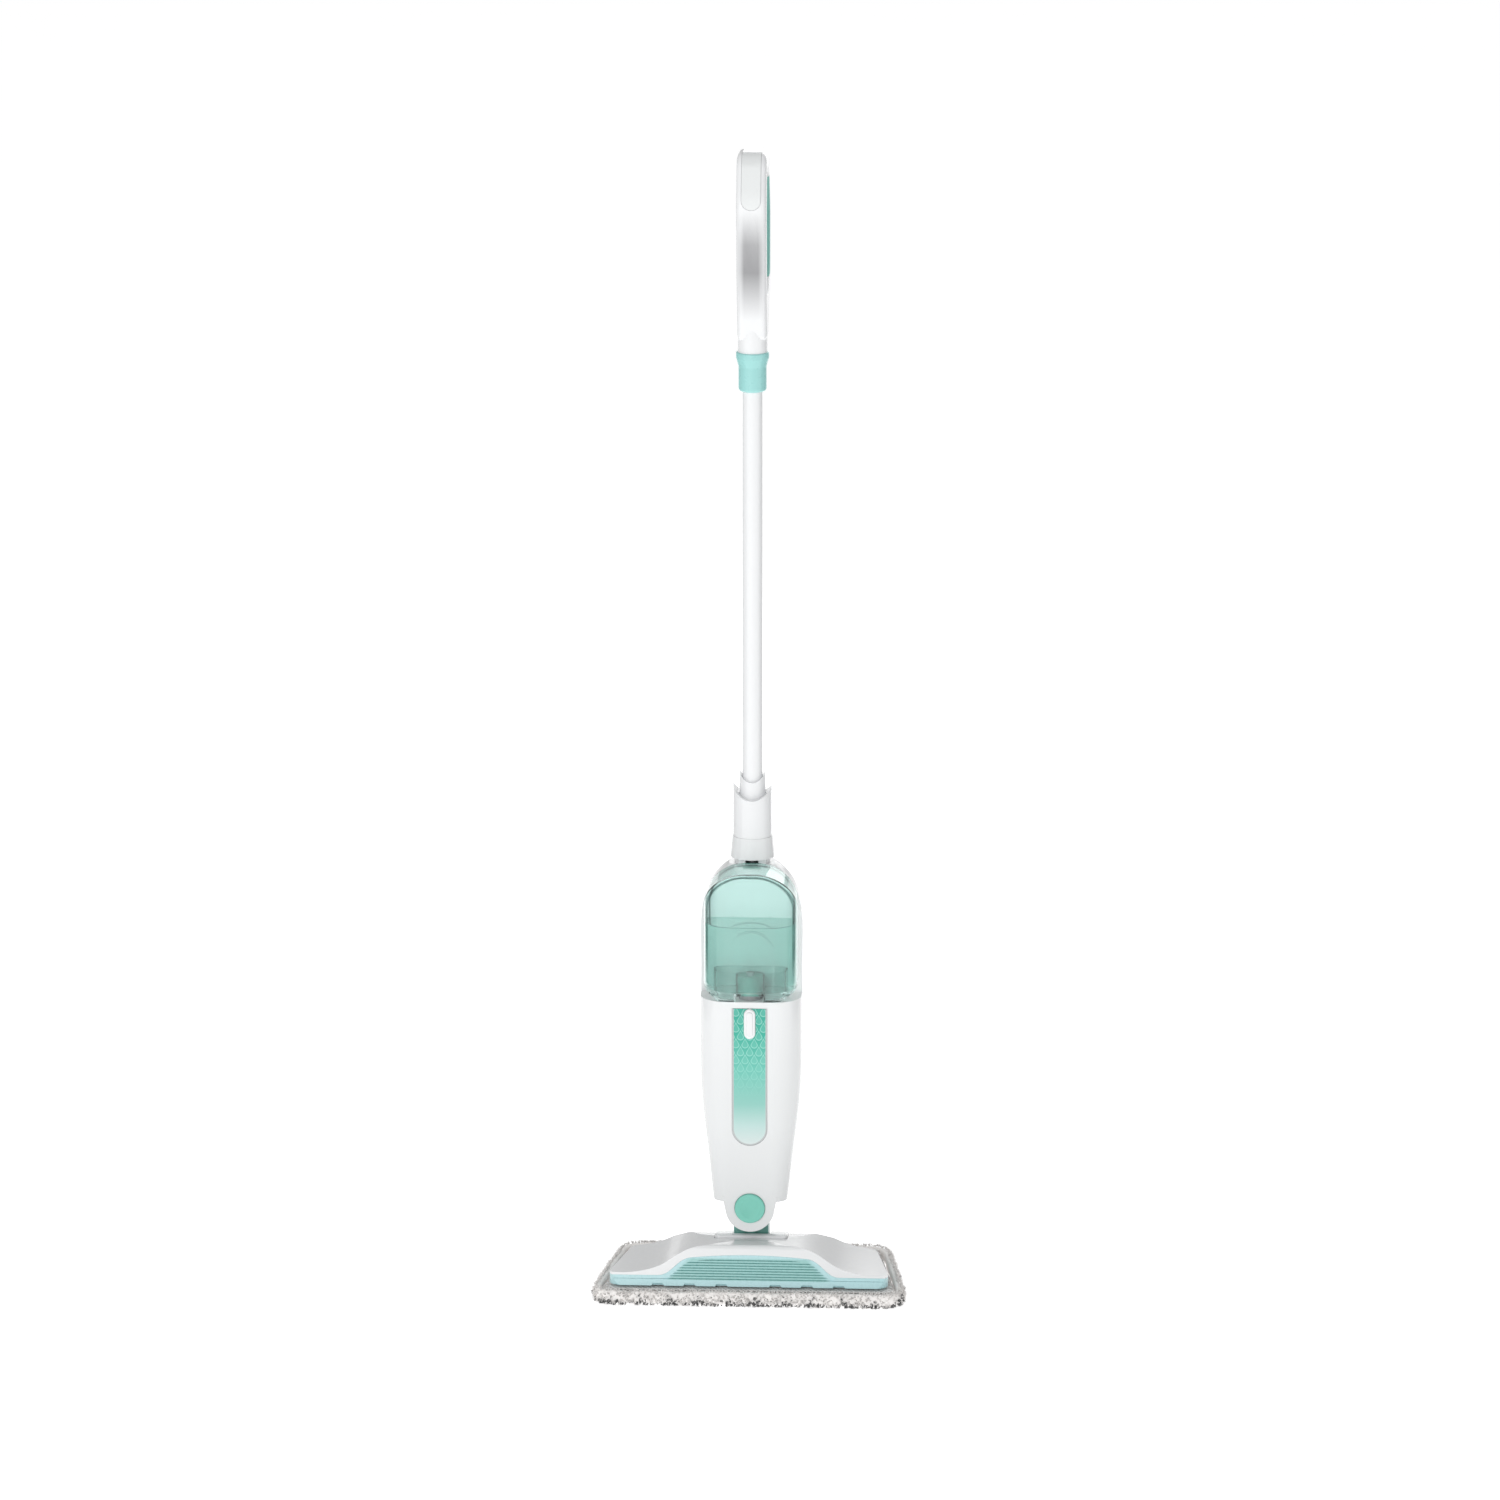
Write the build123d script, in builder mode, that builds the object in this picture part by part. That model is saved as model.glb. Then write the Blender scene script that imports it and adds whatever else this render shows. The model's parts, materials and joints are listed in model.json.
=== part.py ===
from build123d import *
import os

# Upright steam mop, millimetres. +Z is up and the front faces -Y. The origin is on
# the floor, under the middle of the cleaning pad.

# ---------------------------------------------------------------- driving dimensions
WALL = 2.5
RUNNING_FIT = 0.05
GAP = 0.3

PAD_FRONT_HALF = 166.6
PAD_BACK_HALF = 143.0
PAD_HALF_DEPTH = 91.0
PAD_CORNER = 26.0
PAD_BORDER = 13.0
PAD_PILE = 12.5
PAD_BORDER_TOP = 17.0
MESH_TOP = 14.5

HEAD_BOTTOM = 17.5
HEAD_FLOOR = 20.5
HEAD_FRONT_HALF = 146.8
HEAD_BACK_HALF = 128.0
HEAD_FRONT_Y = -74.0
HEAD_BACK_Y = 50.0
HEAD_CORNER = 13.0
HEAD_SLOPE = 0.06
FACE_LEAN = 0.4746
PART_LINE_FRONT = 27.4
PART_LINE_SLOPE = 0.05
PANEL_THICK = 3.0
GROOVE_COUNT = 8
GROOVE_PITCH = 2.55
GROOVE_LOWEST = 24.4
GROOVE_HEIGHT = 1.1
GROOVE_DEPTH = 0.9

PITCH_Z = 40.0
ROLL_Z = 93.0
PITCH_PIN_R = 4.0
ROLL_PIN_R = 5.0
CRADLE_HALF = 38.0
CRADLE_FRONT_Y = -24.0
CRADLE_BACK_Y = 20.0
CRADLE_SLOT_HALF = 19.4
RAMP_HALF = 46.0
TONGUE_HALF = 18.0
TONGUE_HALF_DEPTH = 15.0
LOBE_R = 25.5
LOBE_GAP_Y = 16.0
LOBE_FRONT_Y = -42.0
LOBE_BACK_Y = 24.0
CAVITY_R = 21.0

BUTTON_R = 15.75
BUTTON_FRONT_Y = -44.5
BUTTON_BACK_Y = -36.5
BUTTON_POCKET_Y = -33.0

SHELF_TOP = 316.0
BAY_WALL_Y = -4.0
STRIP_HALF = 17.75
STRIP_TOP = 309.0
STRIP_BOTTOM = 162.0
STRIP_THICK = 1.2
LIGHT_HALF = 6.0
LIGHT_LOW = 277.0

TANK_BOTTOM = 318.0
TANK_TOP = 454.0
TANK_HALF = 48.4
TANK_FRONT_Y = -52.0
TANK_BACK_Y = -5.0
TANK_WALL = 2.0
TANK_ROUND = 42.0
TANK_ARCH_HALF = 14.5
TANK_ARCH_TOP = 324.0
CAP_Y = -28.0
CAP_R = 12.9
CAP_TOP = 341.0
BAFFLE_HALF = 35.0
BAFFLE_FRONT_Y = -45.0
BAFFLE_BACK_Y = -9.0
BAFFLE_TOP = 347.0
RIB_HALF = 23.0
RIB_TOP = 384.0
RIB_DEPTH = 3.0
THIN = 1.4

POLE_Y = 12.0
POLE_R = 10.3
POLE_BORE_R = 8.8
POLE_BOTTOM = 462.0
POLE_TOP = 1000.0
NECK_BOTTOM = 458.0
NECK_TOP = 480.0
NECK_R = 21.6
COLLAR_R = 20.1
COLLAR_TIP = 536.0
COLLAR_DIP = 520.0
SLEEVE_R = 13.4
SLEEVE_BOTTOM = 487.0
SLEEVE_TIP = 550.0
SLEEVE_DIP = 538.0

HANDLE_BOTTOM = 989.0
HANDLE_TOP = 1196.0
HANDLE_HALF = 15.5
HANDLE_ROUND = 7.0
CUFF_BOTTOM = 948.0
GRIP_LOW = 1062.0
GRIP_HIGH = 1166.0
GRIP_FRONT_Y = 33.0
TRIM_HALF = 9.8
TRIM_LOW = 1141.0

# The loop handle's outer and inner outlines as (Y, Z) corners, with a radius for each.
HANDLE_OUTER = [(0, 1000), (30, 1000), (69, 1058), (69, 1130), (40, 1196), (-10, 1196), (-23, 1150), (-17, 1070)]
HANDLE_OUTER_RADII = [10, 20, 40, 45, 25, 18, 60, 60]
HANDLE_INNER = [(16, 1042), (47, 1080), (47, 1130), (27, 1173), (4, 1173), (-2, 1140), (3, 1075)]
HANDLE_INNER_RADII = [9, 28, 30, 12, 10, 30, 40]

# The body's cross-sections as (Z, half width, front Y, back Y, corner radius).
BODY_SECTIONS = [
    (100, 38.0, -42.0, 24.0, 14),
    (125, 41.0, -42.8, 30.0, 18),
    (160, 45.0, -44.4, 38.5, 22),
    (200, 49.8, -45.8, 44.5, 26),
    (240, 52.2, -46.0, 46.0, 28),
    (300, 52.5, -46.0, 46.0, 28),
    (360, 52.5, -46.0, 46.0, 28),
    (400, 52.0, -44.0, 45.0, 28),
    (426, 46.0, -36.0, 42.0, 28),
    (444, 34.0, -22.0, 38.0, 24),
    (452, 24.0, -12.0, 34.0, 20),
]


# ---------------------------------------------------------------- shared helpers
def front_plane(y):
    """Vertical plane facing the front at the given Y, with local axes X and Z."""
    return Plane.XZ.offset(-y)


def side_plane(x):
    """Vertical plane facing +X at the given X, with local axes Y and Z."""
    return Plane.YZ.offset(x)


def face_y(z):
    """Y of the sloping front face of the head at height z."""
    return HEAD_FRONT_Y + FACE_LEAN * (z - HEAD_BOTTOM)


def tube(x, y, low, high, outer, inner=0.0):
    """Upright turned sleeve or rod, returned as a free solid."""
    with BuildPart(Plane((x, y, low))) as turned:
        Cylinder(outer, high - low, align=(Align.CENTER, Align.CENTER, Align.MIN))
        if inner > 0:
            Cylinder(inner, high - low, align=(Align.CENTER, Align.CENTER, Align.MIN), mode=Mode.SUBTRACT)
    return turned.part


def cross_rod(x_low, x_high, y, z, radius):
    """Rod along X between two X values."""
    with BuildPart() as rod:
        with BuildSketch(side_plane(x_low)):
            with Locations((y, z)):
                Circle(radius)
        extrude(amount=x_high - x_low)
    return rod.part


def depth_rod(x, z, y_low, y_high, radius):
    """Rod along Y between two Y values."""
    with BuildPart() as rod:
        with BuildSketch(front_plane(y_high)):
            with Locations((x, z)):
                Circle(radius)
        extrude(amount=y_high - y_low)
    return rod.part


def block(x_low, x_high, y_low, y_high, z_low, z_high):
    """Plain rectangular volume between six faces, used for trimming."""
    size = (x_high - x_low, y_high - y_low, z_high - z_low)
    corner = (Align.MIN, Align.MIN, Align.MIN)
    with BuildPart() as volume:
        with Locations((x_low, y_low, z_low)):
            Box(*size, align=corner)
    return volume.part


def coil_spring(base_plane, height, radius, wire, turns):
    """Open compression spring standing on a plane."""
    with BuildPart() as spring:
        with BuildLine() as coil:
            Helix(
                pitch=height / turns,
                height=height,
                radius=radius,
                center=base_plane.origin,
                direction=base_plane.z_dir,
            )
        with BuildSketch(Plane(origin=coil.line @ 0, z_dir=coil.line % 0)):
            Circle(wire / 2)
        sweep(path=coil.line)
    return spring.part


def trapezoid_plan(front_half, back_half, front_y, back_y, corner):
    """Plan outline that narrows towards the back, with rounded corners."""
    with BuildSketch() as plan:
        with BuildLine():
            FilletPolyline(
                (-front_half, front_y),
                (front_half, front_y),
                (back_half, back_y),
                (-back_half, back_y),
                radius=corner,
                close=True,
            )
        make_face()
    return plan.sketch


def pad_plan(inset):
    """Outline of the cleaning pad, moved inwards by inset."""
    return trapezoid_plan(
        PAD_FRONT_HALF - inset,
        PAD_BACK_HALF - inset,
        inset - PAD_HALF_DEPTH,
        PAD_HALF_DEPTH - inset,
        PAD_CORNER - inset * 0.8,
    )


def head_plan(inset):
    """Outline of the mop head, moved inwards by inset."""
    return trapezoid_plan(
        HEAD_FRONT_HALF - inset,
        HEAD_BACK_HALF - inset,
        HEAD_FRONT_Y + inset,
        HEAD_BACK_Y - inset,
        HEAD_CORNER - inset,
    )


# ---------------------------------------------------------------- cleaning pad
with BuildPart() as pad_sole:
    with BuildSketch():
        add(pad_plan(PAD_BORDER))
    extrude(amount=PAD_PILE)
pad_sole.part.label = "pad_sole"

with BuildPart() as pad_top_mesh:
    with BuildSketch(Plane.XY.offset(PAD_PILE)):
        add(pad_plan(PAD_BORDER))
    extrude(amount=MESH_TOP - PAD_PILE)
pad_top_mesh.part.label = "pad_top_mesh"

with BuildPart() as pad_border:
    with BuildSketch():
        add(pad_plan(0))
        add(pad_plan(PAD_BORDER), mode=Mode.SUBTRACT)
    extrude(amount=PAD_BORDER_TOP)
    rim_edges = pad_border.edges().group_by(Axis.Z)[-1]
    fillet(rim_edges, radius=4.5)
pad_border.part.label = "pad_border"

HOOK_STRIP_YS = (-52.0, -8.0, 34.0)
with BuildPart() as pad_hook_strips:
    with BuildSketch(Plane.XY.offset(MESH_TOP)):
        for strip_y in HOOK_STRIP_YS:
            with Locations((0, strip_y)):
                RectangleRounded(210, 18, 4)
    extrude(amount=HEAD_BOTTOM - MESH_TOP)
pad_hook_strips.part.label = "pad_hook_strips"


# ---------------------------------------------------------------- mop head
def arch_outline(inset):
    """Area under the arched upper edge of the ribbed front, seen from the front."""
    with BuildSketch() as area:
        with BuildLine():
            wing = PART_LINE_FRONT - inset
            left_wing = Line((-HEAD_FRONT_HALF - 2, wing), (-95 + inset, wing))
            left_rise = Spline(
                left_wing @ 1,
                (-80 + inset, 33.4 - inset),
                (-62 + inset, 44.4 - inset),
                tangents=[(1, 0), (1, 0.22)],
            )
            crown = ThreePointArc(left_rise @ 1, (0, 47.4 - inset), (62 - inset, 44.4 - inset))
            right_rise = Spline(
                crown @ 1,
                (80 - inset, 33.4 - inset),
                (95 - inset, wing),
                tangents=[(1, -0.22), (1, 0)],
            )
            right_wing = Line(right_rise @ 1, (HEAD_FRONT_HALF + 2, wing))
            Polyline(right_wing @ 1, (HEAD_FRONT_HALF + 2, 0), (-HEAD_FRONT_HALF - 2, 0), left_wing @ 0)
        make_face()
    return area.sketch


def cover_front_outline(inset):
    """Upper outline of the head seen from the front: low wings and a raised middle."""
    crest = [(-150, 30.8), (-106, 33.0), (-90, 38.5), (-76, 47.0), (-62, 54.0), (-38, 57.6)]
    crest = crest + [(0, 58.6)] + [(-x, z) for x, z in reversed(crest)]
    with BuildSketch() as area:
        with BuildLine():
            top = Spline(*[(x, z - inset) for x, z in crest])
            Polyline(top @ 1, (150, 0), (-150, 0), top @ 0)
        make_face()
    return area.sketch


def cover_side_outline(inset):
    """Upper outline of the head seen from the side."""
    low = 0.0
    with BuildSketch() as area:
        with BuildLine():
            FilletPolyline(
                (face_y(low) + inset * 1.1, low),
                (face_y(56.0) + inset * 1.1, 56.0 - inset),
                (-26, 56.5 - inset),
                (20, 47.5 - inset),
                (HEAD_BACK_Y - inset, 33.0 - inset),
                (HEAD_BACK_Y - inset, low),
                radius=[7, 30, 30, 8],
            )
            Line((HEAD_BACK_Y - inset, low), (face_y(low) + inset * 1.1, low))
        make_face()
    return area.sketch


def head_envelope(inset):
    """Outer form of the whole head, moved inwards by inset."""
    with BuildPart() as form:
        with BuildSketch():
            add(head_plan(inset))
        extrude(amount=80)
        with BuildSketch(front_plane(HEAD_FRONT_Y - 1)):
            add(cover_front_outline(inset))
        extrude(amount=140, dir=(0, 1, -HEAD_SLOPE), mode=Mode.INTERSECT)
        with BuildSketch(side_plane(-160)):
            add(cover_side_outline(inset))
        extrude(amount=320, mode=Mode.INTERSECT)
    return form.part


def part_line_z(y):
    """Height of the seam between head base and cover at the given Y."""
    return PART_LINE_FRONT - PART_LINE_SLOPE * (y - face_y(PART_LINE_FRONT))


def above_part_line():
    """Everything above the seam between head base and cover."""
    with BuildPart() as region:
        with BuildSketch(side_plane(-160)):
            with BuildLine():
                Polyline((-90, part_line_z(-90)), (60, part_line_z(60)), (60, 90), (-90, 90), close=True)
            make_face()
        extrude(amount=320)
    return region.part


def face_slab(depth_from, depth_to):
    """Slab parallel to the sloping front face, between two depths behind it."""
    with BuildPart() as slab:
        with BuildSketch(side_plane(-160)):
            with BuildLine():
                Polyline(
                    (face_y(10) + depth_from, 10),
                    (face_y(60) + depth_from, 60),
                    (face_y(60) + depth_to, 60),
                    (face_y(10) + depth_to, 10),
                    close=True,
                )
            make_face()
        extrude(amount=320)
    return slab.part


SCREW_SPOTS = [(-62, -46), (62, -46), (-62, 24), (62, 24)]
STEAM_HOLES = (9, 3)

with BuildPart() as head_base:
    with BuildSketch(Plane.XY.offset(HEAD_BOTTOM)):
        add(head_plan(0))
    extrude(amount=HEAD_FLOOR - HEAD_BOTTOM)
    with BuildSketch(Plane.XY.offset(HEAD_FLOOR)):
        add(head_plan(0))
        add(head_plan(WALL), mode=Mode.SUBTRACT)
    extrude(amount=14)
    add(above_part_line(), mode=Mode.SUBTRACT)
    add(face_slab(-20, PANEL_THICK), mode=Mode.SUBTRACT)
    with BuildSketch(Plane.XY.offset(HEAD_BOTTOM)):
        with Locations((0, -42)):
            with GridLocations(22, 8, *STEAM_HOLES):
                Circle(1.6)
        with Locations(*SCREW_SPOTS):
            Circle(1.6)
    extrude(amount=10, mode=Mode.SUBTRACT)
    with BuildSketch(Plane.XY.offset(HEAD_BOTTOM)):
        with Locations(*SCREW_SPOTS):
            Circle(3.6)
    extrude(amount=1.6, mode=Mode.SUBTRACT)
head_base.part.label = "head_base"

NOTCH_CENTRES = (-94, -61, -28, 28, 61, 94)
with BuildPart() as ribbed_front_panel:
    with BuildSketch(Plane.XY.offset(HEAD_BOTTOM)):
        add(head_plan(0))
    extrude(amount=40)
    with BuildSketch(front_plane(HEAD_FRONT_Y - 1)):
        add(arch_outline(0.1))
    extrude(amount=-40, mode=Mode.INTERSECT)
    add(face_slab(0, PANEL_THICK - 0.1), mode=Mode.INTERSECT)
    # Long shallow grooves, each as wide as the arch allows at its height.
    for row in range(GROOVE_COUNT):
        groove_z = GROOVE_LOWEST + row * GROOVE_PITCH
        with BuildSketch(front_plane(HEAD_FRONT_Y - 5)):
            add(arch_outline(3.2))
            with Locations((0, groove_z)):
                Rectangle(2 * HEAD_FRONT_HALF - 13, GROOVE_HEIGHT, mode=Mode.INTERSECT)
        extrude(amount=-(face_y(groove_z) - HEAD_FRONT_Y + 5 + GROOVE_DEPTH), mode=Mode.SUBTRACT)
    # Steam vents along the bottom edge.
    with BuildSketch(front_plane(HEAD_FRONT_Y - 5)):
        for notch_x in NOTCH_CENTRES:
            with Locations((notch_x, HEAD_BOTTOM)):
                Trapezoid(13, 2.2, 60, align=(Align.CENTER, Align.MIN))
    extrude(amount=-20, mode=Mode.SUBTRACT)
ribbed_front_panel.part.label = "ribbed_front_panel"


def ramp_wedge(grow):
    """Space behind the ankle that is left free for the reclined body."""
    with BuildPart() as wedge:
        with BuildSketch(side_plane(-RAMP_HALF - grow)):
            with BuildLine():
                Polyline(
                    (CRADLE_BACK_Y + GAP - grow, 30.5 - grow),
                    (HEAD_BACK_Y + 10, 24.0 - grow),
                    (HEAD_BACK_Y + 10, 90),
                    (CRADLE_BACK_Y + GAP - grow, 90),
                    close=True,
                )
            make_face()
        extrude(amount=2 * (RAMP_HALF + grow))
    return wedge.part


with BuildPart() as head_cavity:
    add(head_envelope(WALL))
    add(ramp_wedge(WALL), mode=Mode.SUBTRACT)

with BuildPart() as screw_posts:
    with BuildSketch(Plane.XY.offset(HEAD_FLOOR)):
        with Locations(*SCREW_SPOTS):
            Circle(4.2)
            Circle(1.4, mode=Mode.SUBTRACT)
    extrude(amount=40)
    add(head_envelope(0.5), mode=Mode.INTERSECT)

with BuildPart() as head_top_cover:
    add(head_envelope(0))
    add(head_cavity.part, mode=Mode.SUBTRACT)
    add(screw_posts.part)
    with BuildSketch(front_plane(HEAD_FRONT_Y - 1)):
        add(arch_outline(0))
    extrude(amount=-22, mode=Mode.SUBTRACT)
    below_seam = block(-160, 160, -90, 60, 0, 90) - above_part_line()
    seam_cut = below_seam - screw_posts.part
    add(seam_cut, mode=Mode.SUBTRACT)
    add(ramp_wedge(0), mode=Mode.SUBTRACT)
    with BuildSketch(Plane.XY.offset(HEAD_FLOOR)):
        with Locations((0, (CRADLE_FRONT_Y + CRADLE_BACK_Y) / 2)):
            Rectangle(2 * (CRADLE_HALF + GAP), CRADLE_BACK_Y - CRADLE_FRONT_Y + 2 * GAP)
    extrude(amount=60, mode=Mode.SUBTRACT)
head_top_cover.part.label = "head_top_cover"

with BuildPart() as ankle_cradle:
    with BuildSketch(Plane.XY.offset(HEAD_FLOOR)):
        with Locations((0, (CRADLE_FRONT_Y + CRADLE_BACK_Y) / 2)):
            RectangleRounded(2 * CRADLE_HALF, CRADLE_BACK_Y - CRADLE_FRONT_Y, 5)
    extrude(amount=50)
    with BuildSketch(side_plane(-50)):
        with BuildLine():
            Polyline((-24, 0), (-24, 57.5), (-18, 58.2), (20, 49.5), (20, 0), close=True)
        make_face()
    extrude(amount=100, mode=Mode.INTERSECT)
    cradle_top = ankle_cradle.faces().filter_by(lambda f: f.normal_at().Z > 0.7)
    fillet(cradle_top.edges(), radius=2.5)
    with BuildSketch(Plane.XY.offset(26)):
        with Locations((0, 12)):
            Rectangle(2 * CRADLE_SLOT_HALF, 57)
    extrude(amount=50, mode=Mode.SUBTRACT)
    add(cross_rod(-50, 50, 0, PITCH_Z, PITCH_PIN_R), mode=Mode.SUBTRACT)
    with BuildSketch(front_plane(CRADLE_FRONT_Y - 1)):
        with Locations((0, 31)):
            Circle(3.5)
    extrude(amount=-20, mode=Mode.SUBTRACT)
ankle_cradle.part.label = "ankle_cradle"

with BuildPart() as pitch_pin:
    add(cross_rod(-CRADLE_HALF + 1, CRADLE_HALF - 1, 0, PITCH_Z, PITCH_PIN_R))
    chamfer(pitch_pin.edges().filter_by(GeomType.CIRCLE), length=0.6)
pitch_pin.part.label = "pitch_pin"

with BuildPart() as steam_manifold:
    with BuildSketch(Plane.XY.offset(HEAD_FLOOR)):
        with Locations((0, -43)):
            RectangleRounded(190, 26, 6)
    extrude(amount=9)
    with BuildSketch(Plane.XY.offset(HEAD_FLOOR + 9)):
        with Locations((0, -39.5)):
            RectangleRounded(40, 19, 5)
    extrude(amount=7)
    fillet(steam_manifold.edges().filter_by(GeomType.LINE).group_by(Axis.Z)[-1], radius=1.5)
    with BuildSketch(Plane.XY.offset(HEAD_FLOOR)):
        with Locations((0, -43)):
            RectangleRounded(185, 21, 4)
    extrude(amount=6.5, mode=Mode.SUBTRACT)
    with BuildSketch(Plane.XY.offset(HEAD_FLOOR)):
        with Locations((-62, -46), (62, -46)):
            Circle(5)
    extrude(amount=20, mode=Mode.SUBTRACT)
    with BuildSketch(front_plane(-30)):
        with Locations((0, 31)):
            Circle(2.2)
    extrude(amount=10, mode=Mode.SUBTRACT)
steam_manifold.part.label = "steam_manifold"

with BuildPart() as steam_elbow:
    with BuildSketch(front_plane(-30)):
        with Locations((0, 31)):
            Circle(3.5)
            Circle(2.2, mode=Mode.SUBTRACT)
    extrude(amount=-12.5)
steam_elbow.part.label = "steam_elbow"

with BuildPart() as head_screws:
    with BuildSketch(Plane.XY.offset(HEAD_BOTTOM + 0.1)):
        with Locations(*SCREW_SPOTS):
            Circle(3.2)
    extrude(amount=1.5)
    with BuildSketch(Plane.XY.offset(HEAD_BOTTOM + 1.6)):
        with Locations(*SCREW_SPOTS):
            Circle(1.4)
    extrude(amount=12)
    with BuildSketch(Plane.XY.offset(HEAD_BOTTOM + 0.1)):
        with Locations(*SCREW_SPOTS):
            Rectangle(3.6, 0.8)
            Rectangle(0.8, 3.6)
    extrude(amount=0.8, mode=Mode.SUBTRACT)
head_screws.part.label = "head_screws"


# ---------------------------------------------------------------- ankle
with BuildPart() as ankle_yoke:
    add(cross_rod(-TONGUE_HALF, TONGUE_HALF, 0, PITCH_Z, 12))
    with BuildSketch(front_plane(TONGUE_HALF_DEPTH)):
        with Locations((0, ROLL_Z)):
            Circle(TONGUE_HALF)
        with Locations((0, PITCH_Z)):
            Rectangle(2 * TONGUE_HALF, ROLL_Z - PITCH_Z, align=(Align.CENTER, Align.MIN))
    extrude(amount=2 * TONGUE_HALF_DEPTH)
    # Steam passage and the two bearing bores.
    add(tube(0, 0, PITCH_Z + 10, ROLL_Z - 12, 2.5), mode=Mode.SUBTRACT)
    add(cross_rod(-30, 30, 0, PITCH_Z, PITCH_PIN_R + RUNNING_FIT), mode=Mode.SUBTRACT)
    add(depth_rod(0, ROLL_Z, -30, 30, ROLL_PIN_R + RUNNING_FIT), mode=Mode.SUBTRACT)
    # Two vertical grooves divide the visible front into three flutes.
    for groove_x in (-6.0, 6.0):
        add(block(groove_x - 0.5, groove_x + 0.5, -16, -14, 42, 82), mode=Mode.SUBTRACT)
ankle_yoke.part.label = "ankle_yoke"

with BuildPart() as pitch_washers:
    for washer_x in (-CRADLE_SLOT_HALF + GAP, TONGUE_HALF + 0.1):
        with BuildSketch(side_plane(washer_x)):
            with Locations((0, PITCH_Z)):
                Circle(8)
                Circle(PITCH_PIN_R + RUNNING_FIT, mode=Mode.SUBTRACT)
        extrude(amount=1.0)
pitch_washers.part.label = "pitch_washers"


# ---------------------------------------------------------------- body housings
def body_form(inset):
    """Outer form of the body, moved inwards by inset."""
    with BuildPart() as form:
        for z, half, y_front, y_back, corner in BODY_SECTIONS:
            level = z
            if z == BODY_SECTIONS[0][0]:
                level = z + inset
            if z == BODY_SECTIONS[-1][0]:
                level = z - inset
            with BuildSketch(Plane.XY.offset(level)):
                with Locations((0, (y_front + y_back) / 2)):
                    RectangleRounded(2 * (half - inset), y_back - y_front - 2 * inset, corner - inset)
        loft()
    return form.part


BODY_OUTER = body_form(0)
BODY_INNER = body_form(WALL)
BODY_SKIN = body_form(STRIP_THICK)
LARGE = 200.0


def lobe(y_low, y_high):
    """Rounded lug that holds one end of the roll pin."""
    with BuildPart() as lug:
        with BuildSketch(front_plane(y_high)):
            with Locations((0, ROLL_Z)):
                Circle(LOBE_R)
            with BuildLine():
                Polyline(
                    (-LOBE_R, ROLL_Z - 2),
                    (LOBE_R, ROLL_Z - 2),
                    (LOBE_R + 3, ROLL_Z + 12),
                    (-LOBE_R - 3, ROLL_Z + 12),
                    close=True,
                )
            make_face()
        extrude(amount=y_high - y_low)
    return lug.part


def strip_outline(grow):
    """Front outline of the decorative strip, rounded at its lower end."""
    half = STRIP_HALF + grow
    with BuildSketch() as area:
        with BuildLine():
            low = STRIP_BOTTOM + STRIP_HALF
            sides = Polyline((-half, low), (-half, STRIP_TOP + grow), (half, STRIP_TOP + grow), (half, low))
            ThreePointArc(sides @ 1, (0, low - half), sides @ 0)
        make_face()
    return area.sketch


with BuildPart() as light_pocket:
    with BuildSketch(front_plane(-43.0)):
        with Locations((0, (LIGHT_LOW + STRIP_TOP) / 2)):
            SlotOverall(STRIP_TOP - LIGHT_LOW + 0.2, 2 * LIGHT_HALF + 0.2, rotation=90)
    extrude(amount=20)

HOUSING_SCREWS = [(-20, 292), (20, 292), (-20, 396), (20, 396)]
LOW_SCREW_Z = 292

with BuildPart() as front_housing:
    add(BODY_OUTER)
    add(block(-LARGE, LARGE, 0, LARGE, 0, 600), mode=Mode.SUBTRACT)
    add(block(-LARGE, LARGE, -LARGE, BAY_WALL_Y, SHELF_TOP, 600), mode=Mode.SUBTRACT)
    lower_cavity = BODY_INNER & block(-LARGE, LARGE, -LARGE, 1, 90, SHELF_TOP - WALL)
    upper_cavity = BODY_INNER & block(-LARGE, LARGE, BAY_WALL_Y + 2, 1, SHELF_TOP - WALL - 1, 600)
    add(lower_cavity, mode=Mode.SUBTRACT)
    add(upper_cavity, mode=Mode.SUBTRACT)
    add(lobe(LOBE_FRONT_Y, -LOBE_GAP_Y))
    with Locations(*[(x, 0, z) for x, z in HOUSING_SCREWS if z == LOW_SCREW_Z]):
        Cylinder(4.2, 45.0, rotation=(90, 0, 0), align=(Align.CENTER, Align.CENTER, Align.MIN))
    # Pockets for the tongue, the roll pin, the button, the strip and the receptacle.
    add(depth_rod(0, ROLL_Z, -LOBE_GAP_Y, 1, CAVITY_R), mode=Mode.SUBTRACT)
    add(block(-CAVITY_R, CAVITY_R, -LOBE_GAP_Y, 1, 60, ROLL_Z), mode=Mode.SUBTRACT)
    add(depth_rod(0, ROLL_Z, -30, 0, ROLL_PIN_R), mode=Mode.SUBTRACT)
    add(depth_rod(0, ROLL_Z, -60, BUTTON_POCKET_Y, BUTTON_R + GAP), mode=Mode.SUBTRACT)
    with BuildSketch(front_plane(-60)):
        add(strip_outline(0.7))
    strip_pocket = extrude(amount=-40, mode=Mode.PRIVATE) - BODY_SKIN
    add(strip_pocket, mode=Mode.SUBTRACT)
    add(light_pocket.part, mode=Mode.SUBTRACT)
    add(tube(0, CAP_Y, 300, 330, 12), mode=Mode.SUBTRACT)
    for x, z in HOUSING_SCREWS:
        add(depth_rod(x, z, -20, 1, 1.5), mode=Mode.SUBTRACT)
front_housing.part.label = "front_housing"

GLAND_Z = 250.0
GLAND_R = 7.5
HOOK_Z = 372.0

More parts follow.
